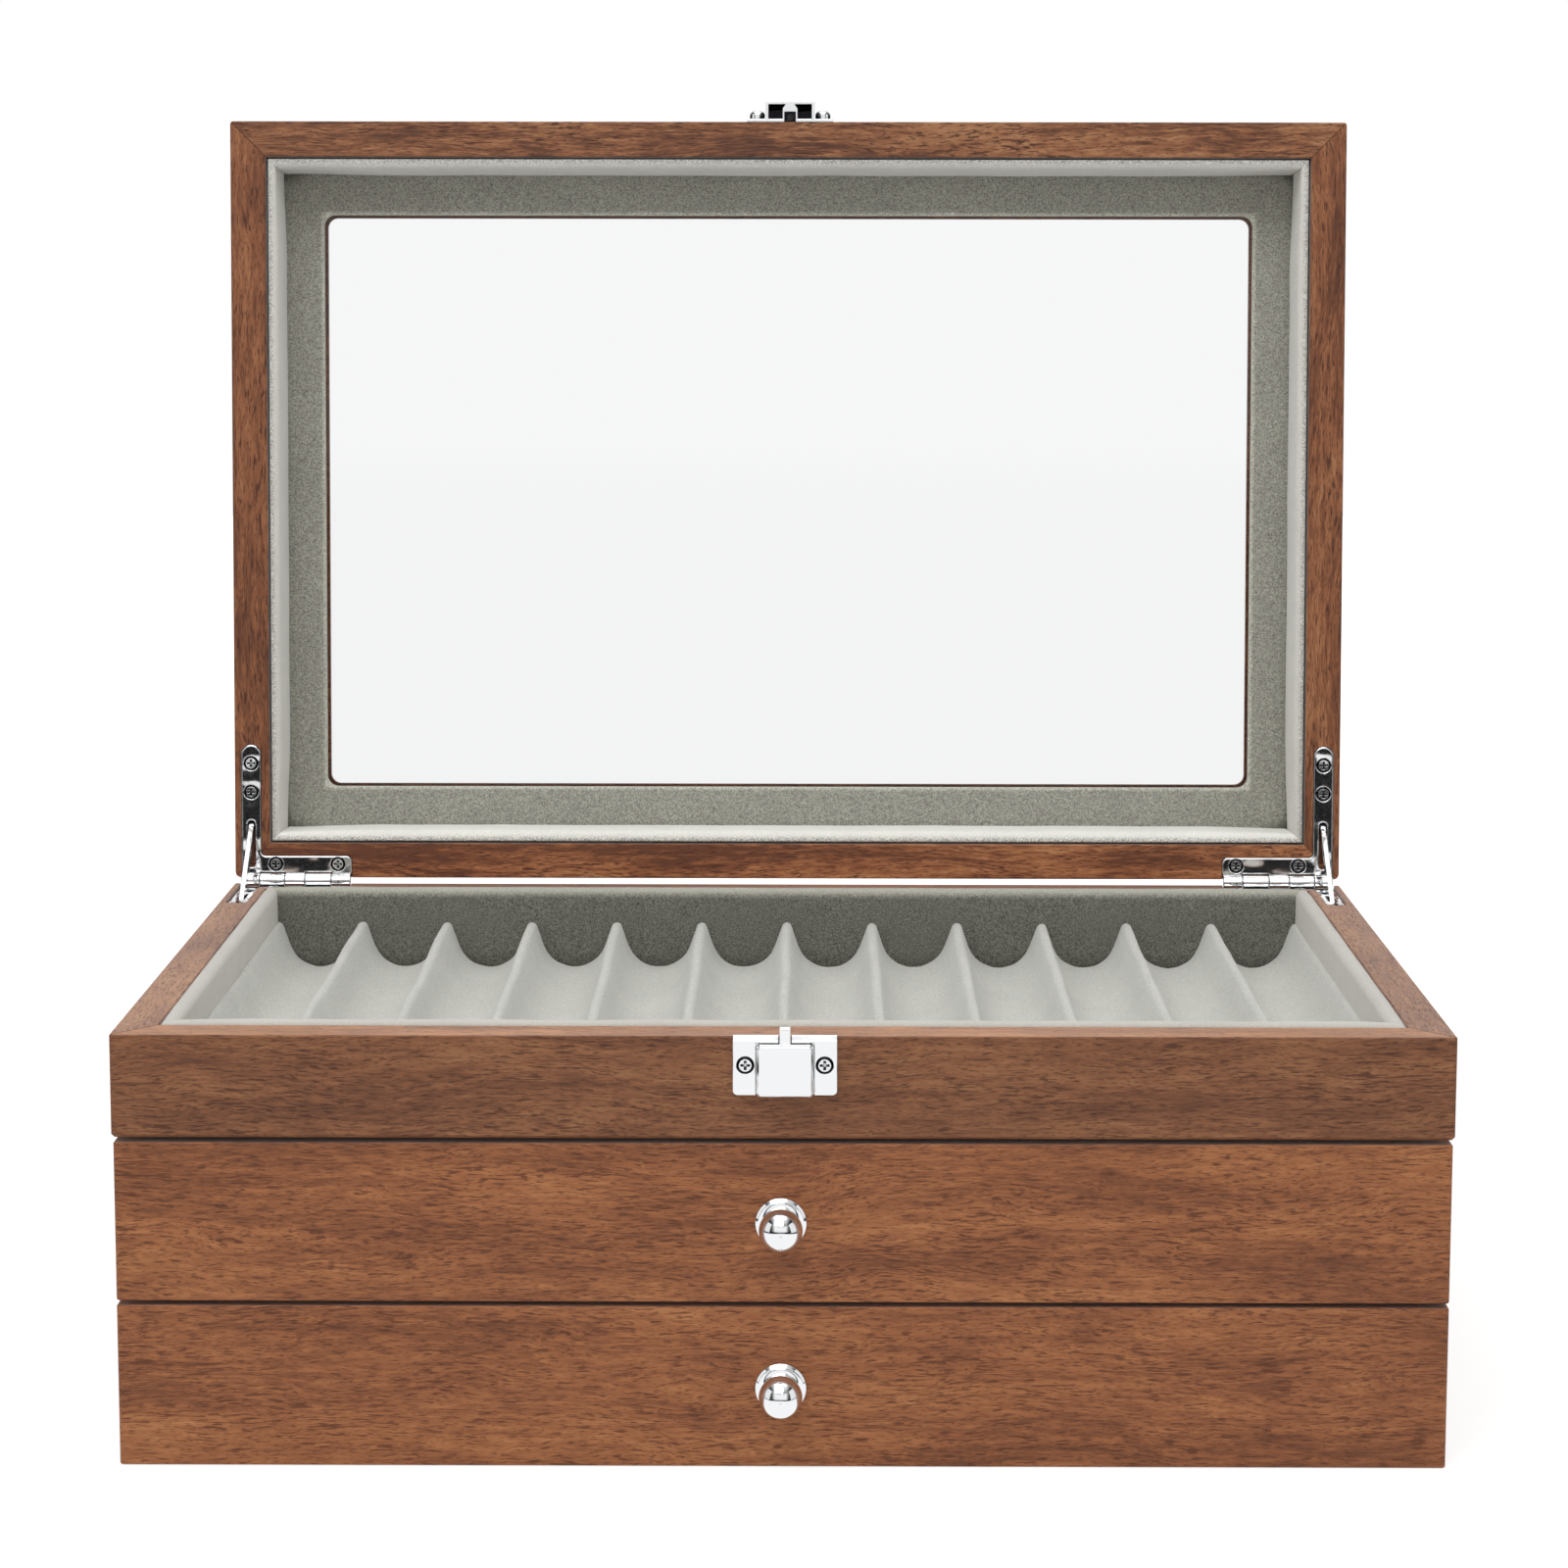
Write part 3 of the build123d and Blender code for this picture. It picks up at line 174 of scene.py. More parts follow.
# -------------------------------------------------------------------- materials
class Graph:
    """The node graph of a new material, or of a new world, built by short calls."""

    def __init__(self, name, world=False):
        self.owner = (bpy.data.worlds if world else bpy.data.materials).new(name)
        self.owner.use_nodes = True
        self.tree = self.owner.node_tree
        self.tree.nodes.clear()
        kind = "ShaderNodeOutputWorld" if world else "ShaderNodeOutputMaterial"
        self.out = self.tree.nodes.new(kind)

    def node(self, kind, values=None, **settings):
        made = self.tree.nodes.new(kind)
        for key, value in settings.items():
            setattr(made, key, value)
        for key, value in (values or {}).items():
            socket = made.inputs[key]
            if isinstance(value, bpy.types.NodeSocket):
                self.tree.links.new(value, socket)
            else:
                socket.default_value = value
        return made

    def math(self, operation, a, b=0.0, clamp=False):
        made = self.node("ShaderNodeMath", {0: a, 1: b}, operation=operation)
        made.use_clamp = clamp
        return made.outputs[0]

    def swing(self, value, weight):
        """How far a noise is from its middle, times weight."""
        return self.math("MULTIPLY", self.math("SUBTRACT", value, 0.5), weight)

    def split(self, vector):
        """The X, Y and Z of a vector."""
        return self.node("ShaderNodeSeparateXYZ", {0: vector}).outputs

    def vector(self, x, y, z):
        return self.node("ShaderNodeCombineXYZ", {0: x, 1: y, 2: z}).outputs[0]

    def noise(self, vector, scale, detail=2.0, rough=0.5):
        values = {"Vector": vector, "Scale": scale, "Detail": detail, "Roughness": rough}
        return self.node("ShaderNodeTexNoise", values).outputs["Fac"]

    def scaled(self, vector, scale, offset=(0, 0, 0)):
        values = {"Vector": vector, "Scale": scale, "Location": offset}
        return self.node("ShaderNodeMapping", values).outputs[0]

    def coords(self, turn=(0, 0, 0), offset=(0, 0, 0)):
        """Object coordinates in mm, turned by degrees about X, then Y, then Z."""
        space = self.node("ShaderNodeTexCoord").outputs["Object"]
        values = {
            "Vector": space,
            "Rotation": [math.radians(a) for a in turn],
            "Scale": (1000, 1000, 1000),
            "Location": offset,
        }
        return self.node("ShaderNodeMapping", values).outputs[0]

    def span(self, value, low, high, to_low=0.0, to_high=1.0, kind="LINEAR"):
        values = {0: value, 1: low, 2: high, 3: to_low, 4: to_high}
        return self.node("ShaderNodeMapRange", values, interpolation_type=kind).outputs[0]

    def smooth(self, *span):
        return self.span(*span, kind="SMOOTHSTEP")

    def mix(self, factor, a, b, mode="MIX"):
        made = self.node("ShaderNodeMix", data_type="RGBA", blend_type=mode)
        for index, value in ((0, factor), (6, a), (7, b)):
            socket = made.inputs[index]
            if isinstance(value, bpy.types.NodeSocket):
                self.tree.links.new(value, socket)
            elif index:
                socket.default_value = (*value, 1)
            else:
                socket.default_value = value
        return made.outputs[2]

    def ramp(self, value, stops):
        made = self.node("ShaderNodeValToRGB", {0: value})
        band = made.color_ramp
        while len(band.elements) < len(stops):
            band.elements.new(0.5)
        for element, (at, colour) in zip(band.elements, stops):
            element.position = at
            element.color = (*colour, 1)
        return made.outputs[0]

    def bump(self, height, strength, distance, normal=None):
        values = {"Strength": strength, "Distance": distance, "Height": height}
        if normal:
            values["Normal"] = normal
        return self.node("ShaderNodeBump", values).outputs[0]

    def surface(self, shader):
        """Show a shader; gives back the material or world."""
        self.tree.links.new(shader, self.out.inputs[0])
        return self.owner

    def finish(self, **values):
        named = {key.replace("_", " "): value for key, value in values.items()}
        return self.surface(self.node("ShaderNodeBsdfPrincipled", named).outputs[0])


def srgb(r, g, b):
    """A screen colour, 0 to 255, as the linear one that shaders use."""
    def line(v):
        v = v / 255
        return v / 12.92 if v <= 0.04045 else ((v + 0.055) / 1.055) ** 2.4
    return line(r), line(g), line(b)


def tinted(tone, tint):
    """A screen colour as a linear one, times a tint."""
    return [c * t for c, t in zip(srgb(*tone), tint)]


# the walnut's colours by the value of its figure, and that of its pores
WOOD_TONES = (
    (0.20, (104, 60, 37)),
    (0.40, (135, 82, 50)),
    (0.52, (154, 96, 60)),
    (0.66, (170, 111, 70)),
    (0.84, (187, 129, 86)),
)
PORE_TONE = (84, 45, 28)
SHEEN_FACE_Z = (0.80, 0.97)   # the normal's Z from which a face starts to get the painted sheen, and gets all of it


def walnut(name, turn=(0, 0, 0), offset=(0, 0, 0), tint=(1, 1, 1), figure=1.0, pores=1.0, top=None):
    """Oiled walnut veneer; its grain runs along X of the turned coordinates. top is how
    much lighter its level upper faces are painted: a painted sheen, where the varnish
    mirrors the pale room at a grazing angle."""
    g = Graph(name)
    p = g.coords(turn, offset)
    # the grain wanders slowly from side to side, so its lines are never quite straight
    drift = g.noise(g.scaled(p, (0.010, 0.030, 0.030)), 1.0, 2.0)
    flick = g.noise(g.scaled(p, (0.045, 0.11, 0.11), (3, 9, 1)), 1.0, 2.0)
    x, y, z = g.split(p)
    sway = g.math("ADD", g.swing(drift, 14.0), g.swing(flick, 2.4))
    flow = g.vector(x, g.math("ADD", y, sway), g.math("ADD", z, sway))
    # broad bands, streaks, cloudy patches and single fibres add up to one value
    band = g.noise(g.scaled(flow, (0.007, 0.10, 0.10)), 1.0, 2.0, 0.5)
    streak = g.noise(g.scaled(flow, (0.030, 0.45, 0.45), (5, 2, 8)), 1.0, 2.0, 0.6)
    cloud = g.noise(g.scaled(p, (0.020, 0.06, 0.06), (1, 4, 6)), 1.0, 2.0)
    fibre = g.noise(g.scaled(flow, (0.12, 1.05, 1.05), (8, 1, 4)), 1.0, 2.0, 0.55)
    value = 0.5
    for layer, weight in ((band, 0.50), (streak, 0.42), (cloud, 0.44), (fibre, 0.58)):
        value = g.math("ADD", value, g.swing(layer, weight * figure))
    colour = g.ramp(value, [(place, tinted(tone, tint)) for place, tone in WOOD_TONES])
    # pores: short dark dashes along the grain, crowded in some places
    dash = g.noise(g.scaled(flow, (0.20, 1.9, 1.9), (7, 3, 2)), 1.0, 2.0, 0.55)
    small = g.noise(g.scaled(flow, (0.45, 3.1, 3.1), (2, 8, 5)), 1.0, 1.5, 0.5)
    crowd = g.noise(g.scaled(p, (0.030, 0.09, 0.09), (9, 9, 3)), 1.0, 2.0)
    limit = g.span(crowd, 0.35, 0.65, 0.585, 0.515)
    cut = g.math("MULTIPLY", g.math("SUBTRACT", dash, limit), 10.0, clamp=True)
    thin = g.math("MULTIPLY", g.math("SUBTRACT", small, 0.55), 9.0, clamp=True)
    pore = g.math("MAXIMUM", cut, g.math("MULTIPLY", thin, 0.7))
    pore = g.math("MULTIPLY", pore, 0.80 * pores, clamp=True)
    colour = g.mix(pore, colour, tinted(PORE_TONE, tint))
    # painted sheen: level upper faces are painted lighter, standing in for the varnish mirroring
    # the pale room
    if top:
        upright = g.split(g.node("ShaderNodeNewGeometry").outputs["Normal"])[2]
        level = g.smooth(upright, *SHEEN_FACE_Z, 0.0, 1.0)
        colour = g.mix(level, colour, g.mix(1.0, colour, top, "MULTIPLY"))
    rough = g.math("ADD", 0.46, g.math("MULTIPLY", pore, 0.25))
    rough = g.math("ADD", rough, g.swing(fibre, 0.16))
    height = g.math("SUBTRACT", g.math("MULTIPLY", fibre, 0.3), pore)
    normal = g.bump(height, 0.35, 0.00012)
    return g.finish(
        Base_Color=colour,
        Roughness=rough,
        Normal=normal,
        Specular_IOR_Level=0.38,
        Sheen_Weight=0.6,
        Sheen_Roughness=0.26,
    )


def velvet(
    name, colour, lid=False, speckle=0.06, lift=None, brush=0.08, calm=1.0, sheen=0.25, opening=None
):
    """Short-napped velvet. speckle is how far its tufts vary, brush how far the nap
    lies in patches. lift is (axis, low, high, gain): by the coordinate of that axis,
    gain times as light at high, a painted light and shade, where calm is the share of
    speckle that is left. opening is (half x, half y, reach, gain): a painted highlight
    along an opening's edge. The lid's velvets (lid=True) are placed with the lid shut."""
    g = Graph(name)
    p = g.coords(LID_TURN, LID_SHIFT) if lid else g.coords()
    fine = g.noise(p, 2.3, 2.0, 0.7)
    tuft = g.noise(p, 0.85, 2.0, 0.6)
    patch = g.noise(g.scaled(p, (0.05, 0.05, 0.05)), 1.0, 3.0, 0.55)
    grain = 0.0
    for layer, weight in ((fine, speckle * 8), (tuft, speckle * 1.6)):
        grain = g.math("ADD", grain, g.swing(layer, weight))
    value = g.math("ADD", 1.0, g.swing(patch, brush * 2))
    # painted light and shade: lighter or darker along one axis
    if lift:
        axis, low, high, gain = lift
        along = g.split(p)[axis]
        value = g.math("MULTIPLY", value, g.smooth(along, low, high, 1.0, gain))
        grain = g.math("MULTIPLY", grain, g.smooth(along, low, high, 1.0, calm))
    # painted highlight along an opening's edge
    if opening:
        half_x, half_y, reach, gain = opening
        place = g.split(p)
        beyond_x = g.math("SUBTRACT", g.math("ABSOLUTE", place[0]), half_x)
        beyond_y = g.math("SUBTRACT", g.math("ABSOLUTE", place[1]), half_y)
        edge = g.smooth(g.math("MAXIMUM", beyond_x, beyond_y), 0.0, reach, gain, 1.0)
        value = g.math("MULTIPLY", value, edge)
    value = g.math("MULTIPLY", value, g.math("ADD", 1.0, grain))
    tint = g.mix(1.0, colour, g.vector(value, value, value), "MULTIPLY")
    height = g.math("ADD", g.math("MULTIPLY", fine, 0.8), g.math("MULTIPLY", tuft, 0.8))
    normal = g.bump(height, min(1.0, 0.35 + speckle * 2.5), 0.0003)
    return g.finish(
        Base_Color=tint,
        Roughness=0.95,
        Normal=normal,
        Sheen_Weight=sheen,
        Sheen_Roughness=0.45,
        Specular_IOR_Level=0.2,
    )


NOOK_SHADE = (0.012, 0.012, 0.014)   # painted shade: the dark that chrome mirrors in its corners
HEAD_RIM_SHADE = (0.9565, 0.9635)        # cosines between which a screw head turns down; its rim there gets a painted dark line


def chrome(
    name, rough=0.06, colour=(0.90, 0.91, 0.92), edge=0.28, reach=1.1, nook=(0.42, 0.80), axis=None
):
    """Bright plating with softly broken edges, slightly wavy faces, and painted shade in
    its corners: edge is the soft edge in mm, reach how far out of a corner its painted
    dark goes, and nook the openness at which it is darkest and the one at which it ends.
    Low screw heads, whose axis is given, get a painted dark line where they turn down
    to their plate."""
    g = Graph(name)
    p = g.coords()
    soft = g.node("ShaderNodeBevel", {"Radius": edge * MM}, samples=6).outputs[0]
    ripple = g.noise(p, 0.10, 1.0)
    dust = g.noise(p, 1.6, 3.0, 0.6)
    level = g.span(dust, 0.3, 0.75, rough * 0.7, rough * 1.6)
    normal = g.bump(ripple, 1.0, 0.0005, soft)
    # painted shade: ambient occlusion darkens the base colour in corners
    spare = g.node("ShaderNodeAmbientOcclusion", {"Distance": reach * MM}, samples=8)
    unshaded = g.span(spare.outputs[1], *nook)
    # painted dark line along a screw head's rim, picked out by its normal
    if axis:
        normals = g.node("ShaderNodeTexCoord").outputs["Normal"]
        dot = g.node("ShaderNodeVectorMath", {0: normals, 1: axis}, operation="DOT_PRODUCT")
        rim_unshaded = g.span(g.math("ABSOLUTE", dot.outputs["Value"]), *HEAD_RIM_SHADE)
        unshaded = g.math("MINIMUM", unshaded, rim_unshaded)
    tint = g.mix(unshaded, NOOK_SHADE, colour)
    return g.finish(Base_Color=tint, Metallic=1.0, Roughness=level, Normal=normal)


def clear_glass():
    g = Graph("clear_glass")
    p = g.coords()
    film = g.noise(p, 0.02, 3.0)
    rough = g.span(film, 0.3, 0.7, 0.0, 0.012)
    return g.finish(
        Base_Color=(0.925, 0.93, 0.93, 1),
        Roughness=rough,
        IOR=1.45,
        Transmission_Weight=1.0,
    )


def felt():
    g = Graph("base_felt")
    p = g.coords()
    fibre = g.noise(g.scaled(p, (1.4, 0.5, 1.0)), 1.0, 4.0, 0.7)
    cloud = g.noise(g.scaled(p, (0.04, 0.04, 0.04)), 1.0, 2.0)
    value = g.math("ADD", g.math("MULTIPLY", fibre, 0.7), g.math("MULTIPLY", cloud, 0.3))
    colour = g.ramp(value, [(0.3, srgb(34, 31, 29)), (0.7, srgb(66, 61, 57))])
    normal = g.bump(fibre, 0.6, 0.0003)
    return g.finish(Base_Color=colour, Roughness=0.97, Normal=normal, Sheen_Weight=0.3)


RIM_TINT = (0.90, 0.92, 0.96)
LID_TINT = (0.78, 0.76, 0.78)
FRONT_TINT = (1.04, 1.02, 0.96)
# the top values of the side panels and the front rail paint a sheen on their level rim faces
SIDE_RIM_SHEEN = (1.24, 1.38, 1.42)
WOODS = {
    "front_rail": dict(offset=(40, 12, 300), tint=(0.74, 0.79, 0.85), top=(2.15, 2.20, 1.72)),
    "drawer_upper_front": dict(offset=(210, 80, 130), tint=FRONT_TINT),
    "drawer_lower_front": dict(offset=(-90, 33, 20), tint=FRONT_TINT),
    "side_panel_left": dict(turn=(0, 0, -90), offset=(5, 60, 10), tint=RIM_TINT, top=SIDE_RIM_SHEEN),
    "side_panel_right": dict(turn=(0, 0, -90), offset=(95, -60, 77), tint=RIM_TINT, top=SIDE_RIM_SHEEN),
    "back_panel": dict(offset=(500, 9, -60), tint=RIM_TINT),
    "lid_rail_front": dict(
        turn=LID_TURN, offset=(31, 0, 5), tint=(0.78, 0.82, 0.88), figure=2.1, pores=1.15
    ),
    # the back rail's lighter tint is partly its own tone, partly painted light against the shade
    # near the hinges
    "lid_rail_back": dict(
        turn=LID_TURN, offset=(-70, 20, 45), tint=(1.08, 1.08, 1.10), figure=1.9, pores=1.15
    ),
    "lid_stile_left": dict(
        turn=(LID_OPEN, 0, -90), offset=(11, 8, 90), tint=LID_TINT, figure=1.2, pores=1.1
    ),
    "lid_stile_right": dict(
        turn=(LID_OPEN, 0, -90), offset=(80, -5, 33), tint=LID_TINT, figure=1.5, pores=1.1
    ),
    "lid_top_frame": dict(turn=LID_TURN, offset=(300, 60, 33), tint=LID_TINT),
}
for node, kind in WOODS.items():
    NODES[node].data.materials.clear()
    NODES[node].data.materials.append(walnut("walnut_" + node, **kind))

inner_wood = walnut("inner_wood_x", offset=(9, 9, 9), tint=RIM_TINT, figure=0.7, pores=0.7)
inner_wood_y = walnut(
    "inner_wood_y", turn=(0, 0, -90), offset=(19, 3, 9), tint=RIM_TINT, figure=0.7, pores=0.7
)
bright = chrome("chrome")
plate = chrome("chrome_plate", edge=0.75)
latch = chrome("chrome_latch", edge=0.35, reach=0.5)
# painted shade: the keeper's hollow is darkened far into it, and screw heads darken at their foot
# and along their rim
hollow = chrome("chrome_hollow", reach=6.0, nook=(0.50, 0.86))
heads = dict(rough=0.10, colour=(0.84, 0.85, 0.86), edge=0.15, reach=0.8, nook=(0.60, 0.92))
steel = chrome("screw_steel", **heads)
lid_way = (0, math.sin(math.radians(LID_OPEN)), math.cos(math.radians(LID_OPEN)))
SCREWS = {
    "latch_screws": chrome("latch_screw_steel", axis=(0, 1, 0), **heads),
    "hinge_lid_screws": chrome("lid_screw_steel", axis=lid_way, **heads),
    "hinge_case_screws": chrome("case_screw_steel", axis=(0, 0, 1), **heads),
}
glass = clear_glass()


def cad_material(node):
    """The material of a CAD node without veneer; pieces below replace the soft nodes."""
    if "side_" in node and node.startswith("drawer"):
        return inner_wood_y
    if node.endswith(("_back", "_bottom")) or "shelf" in node or node == "bottom_panel":
        return inner_wood
    if "screw" in node or "spring" in node:
        return SCREWS.get(node, steel)
    if node == "lid_glass":
        return glass
    if "leaf" in node or "stay_link" in node:
        return plate
    if node.startswith("latch"):
        return latch
    return hollow if node == "lid_keeper" else bright


for node, obj in NODES.items():
    if node not in WOODS:
        obj.data.materials.clear()
        obj.data.materials.append(cad_material(node))

velvet_tray = velvet("velvet_tray", srgb(206, 206, 200), speckle=0.15)
velvet_drawer = velvet("velvet_drawer", srgb(204, 204, 198))
velvet_liner = velvet("velvet_liner", srgb(204, 201, 193), speckle=0.05)
liner_top = measures("top_liner_back")[1][2]
# painted highlight: the back liner's rounded top edge is painted lighter over its last few mm
velvet_back = velvet(
    "velvet_back_liner", srgb(115, 114, 106), speckle=0.40, calm=0.3,
    lift=(2, liner_top - 3.5, liner_top - 0.3, 2.8),
)
MAT_OPENING = (148.7, 91.7)   # half sizes of the mat's opening
# painted highlight along the edge of the mat's opening
velvet_mat = velvet(
    "velvet_mat", srgb(162, 161, 151), lid=True, speckle=0.34, brush=0.10,
    opening=(*MAT_OPENING, 1.5, 1.6),
)
# each roll's colour, lighter or darker by how the lamps fall on it, and how many times as light it
# is inside as at its outer edge: both painted light and shade
ROLL_PAINTED_LIGHT = {
    "front": ((186, 184, 179), 1.30),
    "back": ((213, 212, 205), 1.38),
    "left": ((188, 186, 180), 1.45),
    "right": ((188, 186, 180), 1.45),
}
TUFTED = (0.5, 2.5)   # mm from a roll's outer side over which its tufts give way to calm nap and its painted light rises


def roll_velvet(side):
    """The velvet of one roll in the lid, with painted light and shade across it."""
    tone, gain = ROLL_PAINTED_LIGHT[side]
    low, high = measures("lid_bolster_" + side, shut=True)
    axis = 1 if side in ("front", "back") else 0
    outer, way = (high[axis], -1) if side in ("back", "right") else (low[axis], 1)
    start, end = (outer + way * reach for reach in TUFTED)
    return velvet(
        "velvet_roll_" + side, srgb(*tone), lid=True, speckle=0.42, calm=0.12, sheen=0.4,
        lift=(axis, start, end, gain),
    )


felt_cloth = felt()


# --------------------------------------------------------------------- pen trays
TOP_SLOTS, DRAWER_SLOTS = 12, 11
SLOT_DEPTH = 14.1                 # from a crest down to a valley
SLOT_RADIUS = 10.2                # of a valley
SLOT_FLANK = math.radians(71.0)   # steepness between valley and crest
TRAY_BASE = 4.0                   # thickness under the valleys
TRAY_ENDS = 4.0                   # sections stand closer within this of the ends
TRAY_SLACK = 0.15                 # how far an uneven crest may rise over an even one
END_HOLD = 3.0                    # the unevenness calms down within this of the ends
END_DROOP = 0.35                  # how far the cut ends droop
DROOP_LENGTH = 1.6                # and over which length


def tray(name, slots, body, material, node, seed):
    """A padded pen tray: velvet over a shaped former, with soft crests."""
    low, high = measures(node)
    half_width, y0, y1, base = high[0], low[1], high[1], low[2]
    depth, radius, flank = SLOT_DEPTH, SLOT_RADIUS, SLOT_FLANK
    pitch = 2 * half_width / slots
    sine, rise, grade = math.sin(flank), 1 - math.cos(flank), math.tan(flank)
    run = pitch / 2 - radius * sine
    crest = (run * grade - depth + radius * rise) / (sine * grade - rise)
    floor, top = base + TRAY_BASE, base + TRAY_BASE + depth

    def height(d):
        """Height of the section at d mm from the middle of a valley."""
        d = abs(d)
        if d <= radius * sine:
            return floor + radius - math.sqrt(radius**2 - d**2)
        if d <= pitch / 2 - crest * sine:
            return floor + radius * rise + (d - radius * sine) * grade
        left = pitch / 2 - d
        return top - crest + math.sqrt(max(crest**2 - left**2, 0.0))

    side = list(np.linspace(0, radius * sine, 9))
    side += list(np.linspace(radius * sine, pitch / 2 - crest * sine, 5))[1:]
    side += [pitch / 2 - crest * math.sin(flank * k) for k in (0.8, 0.6, 0.4, 0.2, 0.0)]
    offsets = [-d for d in side[:0:-1]] + side
    xs, zs = [], []
    for i in range(slots):
        middle = -half_width + (i + 0.5) * pitch
        for d in offsets if i == 0 else offsets[1:]:
            xs.append(middle + d)
            zs.append(height(d))
    xs, zs = np.array(xs), np.array(zs)
    y2, y3 = y0 + TRAY_ENDS, y1 - TRAY_ENDS
    stations = [np.linspace(y0, y2, 7), np.linspace(y2, y3, 46), np.linspace(y3, y1, 7)]
    ys = np.unique(np.concatenate(stations))
    sections = []
    for y in ys:
        soft = 0.22 * wave(xs, y, seed, 34.0) + 0.09 * wave(xs, y, seed + 1, 11.0)
        inward = min(y - y0, y1 - y)
        hold = smooth_step(inward / END_HOLD)
        z = zs + soft * (0.45 + 0.55 * hold)
        z = np.minimum(z, top + TRAY_SLACK)
        # the cut ends of the padding droop a little and are not quite straight
        droop = (1 - smooth_step(inward / DROOP_LENGTH)) * END_DROOP
        z = z - droop - (1 - hold) * 0.18 * (1 + wave(xs, y, seed + 2, 5.0))
        lean = 0.22 * wave(xs * 0.2, y, seed + 3, 60.0)
        x = xs + lean * (zs - floor) / depth
        x[0], x[-1] = -half_width, half_width
        upper = np.stack([x, np.full_like(x, y), z], 1)
        lower = np.array([[half_width, y, base], [0, y, base], [-half_width, y, base]])
        sections.append(np.concatenate([upper, lower]))
    points, faces = loft(sections, False)
    obj = make(name, points, faces, body, material, node)
    return obj


tray("pen_tray_top_velvet", TOP_SLOTS, "case", velvet_tray, "top_pen_tray", 11)
for level, seed in (("upper", 21), ("lower", 31)):
    name, body = f"pen_tray_{level}_velvet", "drawer_" + level
    tray(name, DRAWER_SLOTS, body, velvet_drawer, body + "_pen_tray", seed)


# ----------------------------------------------------------------- padded liners
SIDES = ("front", "back", "left", "right")


def beside(prefix, side, shut=False):
    """Of four members that frame a box: the box's lowest and highest corners, half the
    length of one side, and place(s, u, w), with s along that side, u inward and w up."""
    boxes = [measures(prefix + each, shut) for each in SIDES]
    low = np.min([box[0] for box in boxes], axis=0)
    high = np.max([box[1] for box in boxes], axis=0)
    middle = (low + high) / 2
    axis = 0 if side in ("front", "back") else 1

    def place(s, u, w):
        if side == "front":
            return np.stack([middle[0] + s, low[1] + u, w], 1)
        if side == "back":
            return np.stack([middle[0] - s, high[1] - u, w], 1)
        if side == "left":
            return np.stack([low[0] + u, middle[1] - s, w], 1)
        return np.stack([high[0] - u, middle[1] + s, w], 1)

    return low, high, (high[axis] - low[axis]) / 2, place


LINER_THICK = 4.8
LINER_ROUND = 2.2
LINER_BACK_ROUND = LINER_ROUND * 0.9
LINER_GAP = 0.25    # fine dark gap between the cloth and the wooden wall
LINER_PULL = 0.25   # how far the cloth is drawn in at a liner's ends
PULL_LENGTH = 9.0   # and over which length


def liner(side, material, seed):
    """A velvet-covered board beside the top tray, with a soft rounded top."""
    low, high, half, place = beside("top_liner_", side)
    base, top = low[2], high[2]

    def profile(t):
        s = t * half
        pull = 1 - smooth_step((1 - abs(t)) * half / PULL_LENGTH)
        w = LINER_THICK + 0.12 * wave(s, 0.0, seed, 37.0) - LINER_PULL * pull
        up = top + 0.10 * wave(s, 3.0, seed + 1, 29.0) - LINER_PULL * pull
        loop = [(LINER_GAP, base), (w, base), (w, base + 9), (w + 0.12, base + 18)]
        for x, y in quarter(6):
            loop.append((w - LINER_ROUND * x, up - LINER_ROUND * y))
        for x, y in quarter(5):
            loop.append((LINER_GAP + LINER_BACK_ROUND * y, up - LINER_BACK_ROUND * x))
        return loop + [(LINER_GAP, up - 6)]

    points, faces = mitred(half, profile, place, 61)
    name, node = f"liner_{side}_velvet", "top_liner_" + side
    return make(name, points, faces, "case", material, node)


for k, side in enumerate(SIDES):
    liner(side, velvet_back if side == "back" else velvet_liner, 40 + k)


# ------------------------------------------------------------------ lid bolsters
ROLL_GAP = 0.25       # more dark air beside a roll than beside its CAD solid
PINCH_LENGTH = 30.0   # a roll thins over this length before its corners
FULL_ROLL = {"front": 3.5, "back": 3.7, "left": 3.3, "right": 3.3}
PINCHED_ROLL = {"front": 3.1, "back": 3.1, "left": 2.6, "right": 2.6}
ROLL_EDGE = 0.5       # rounding of a roll towards its wall
# how far a roll bulges inward at these depths in mm from the lid's rim
ROLL_CROWN = ((6, 0.28), (11, 0.35), (17, 0.3), (22, 0.12))


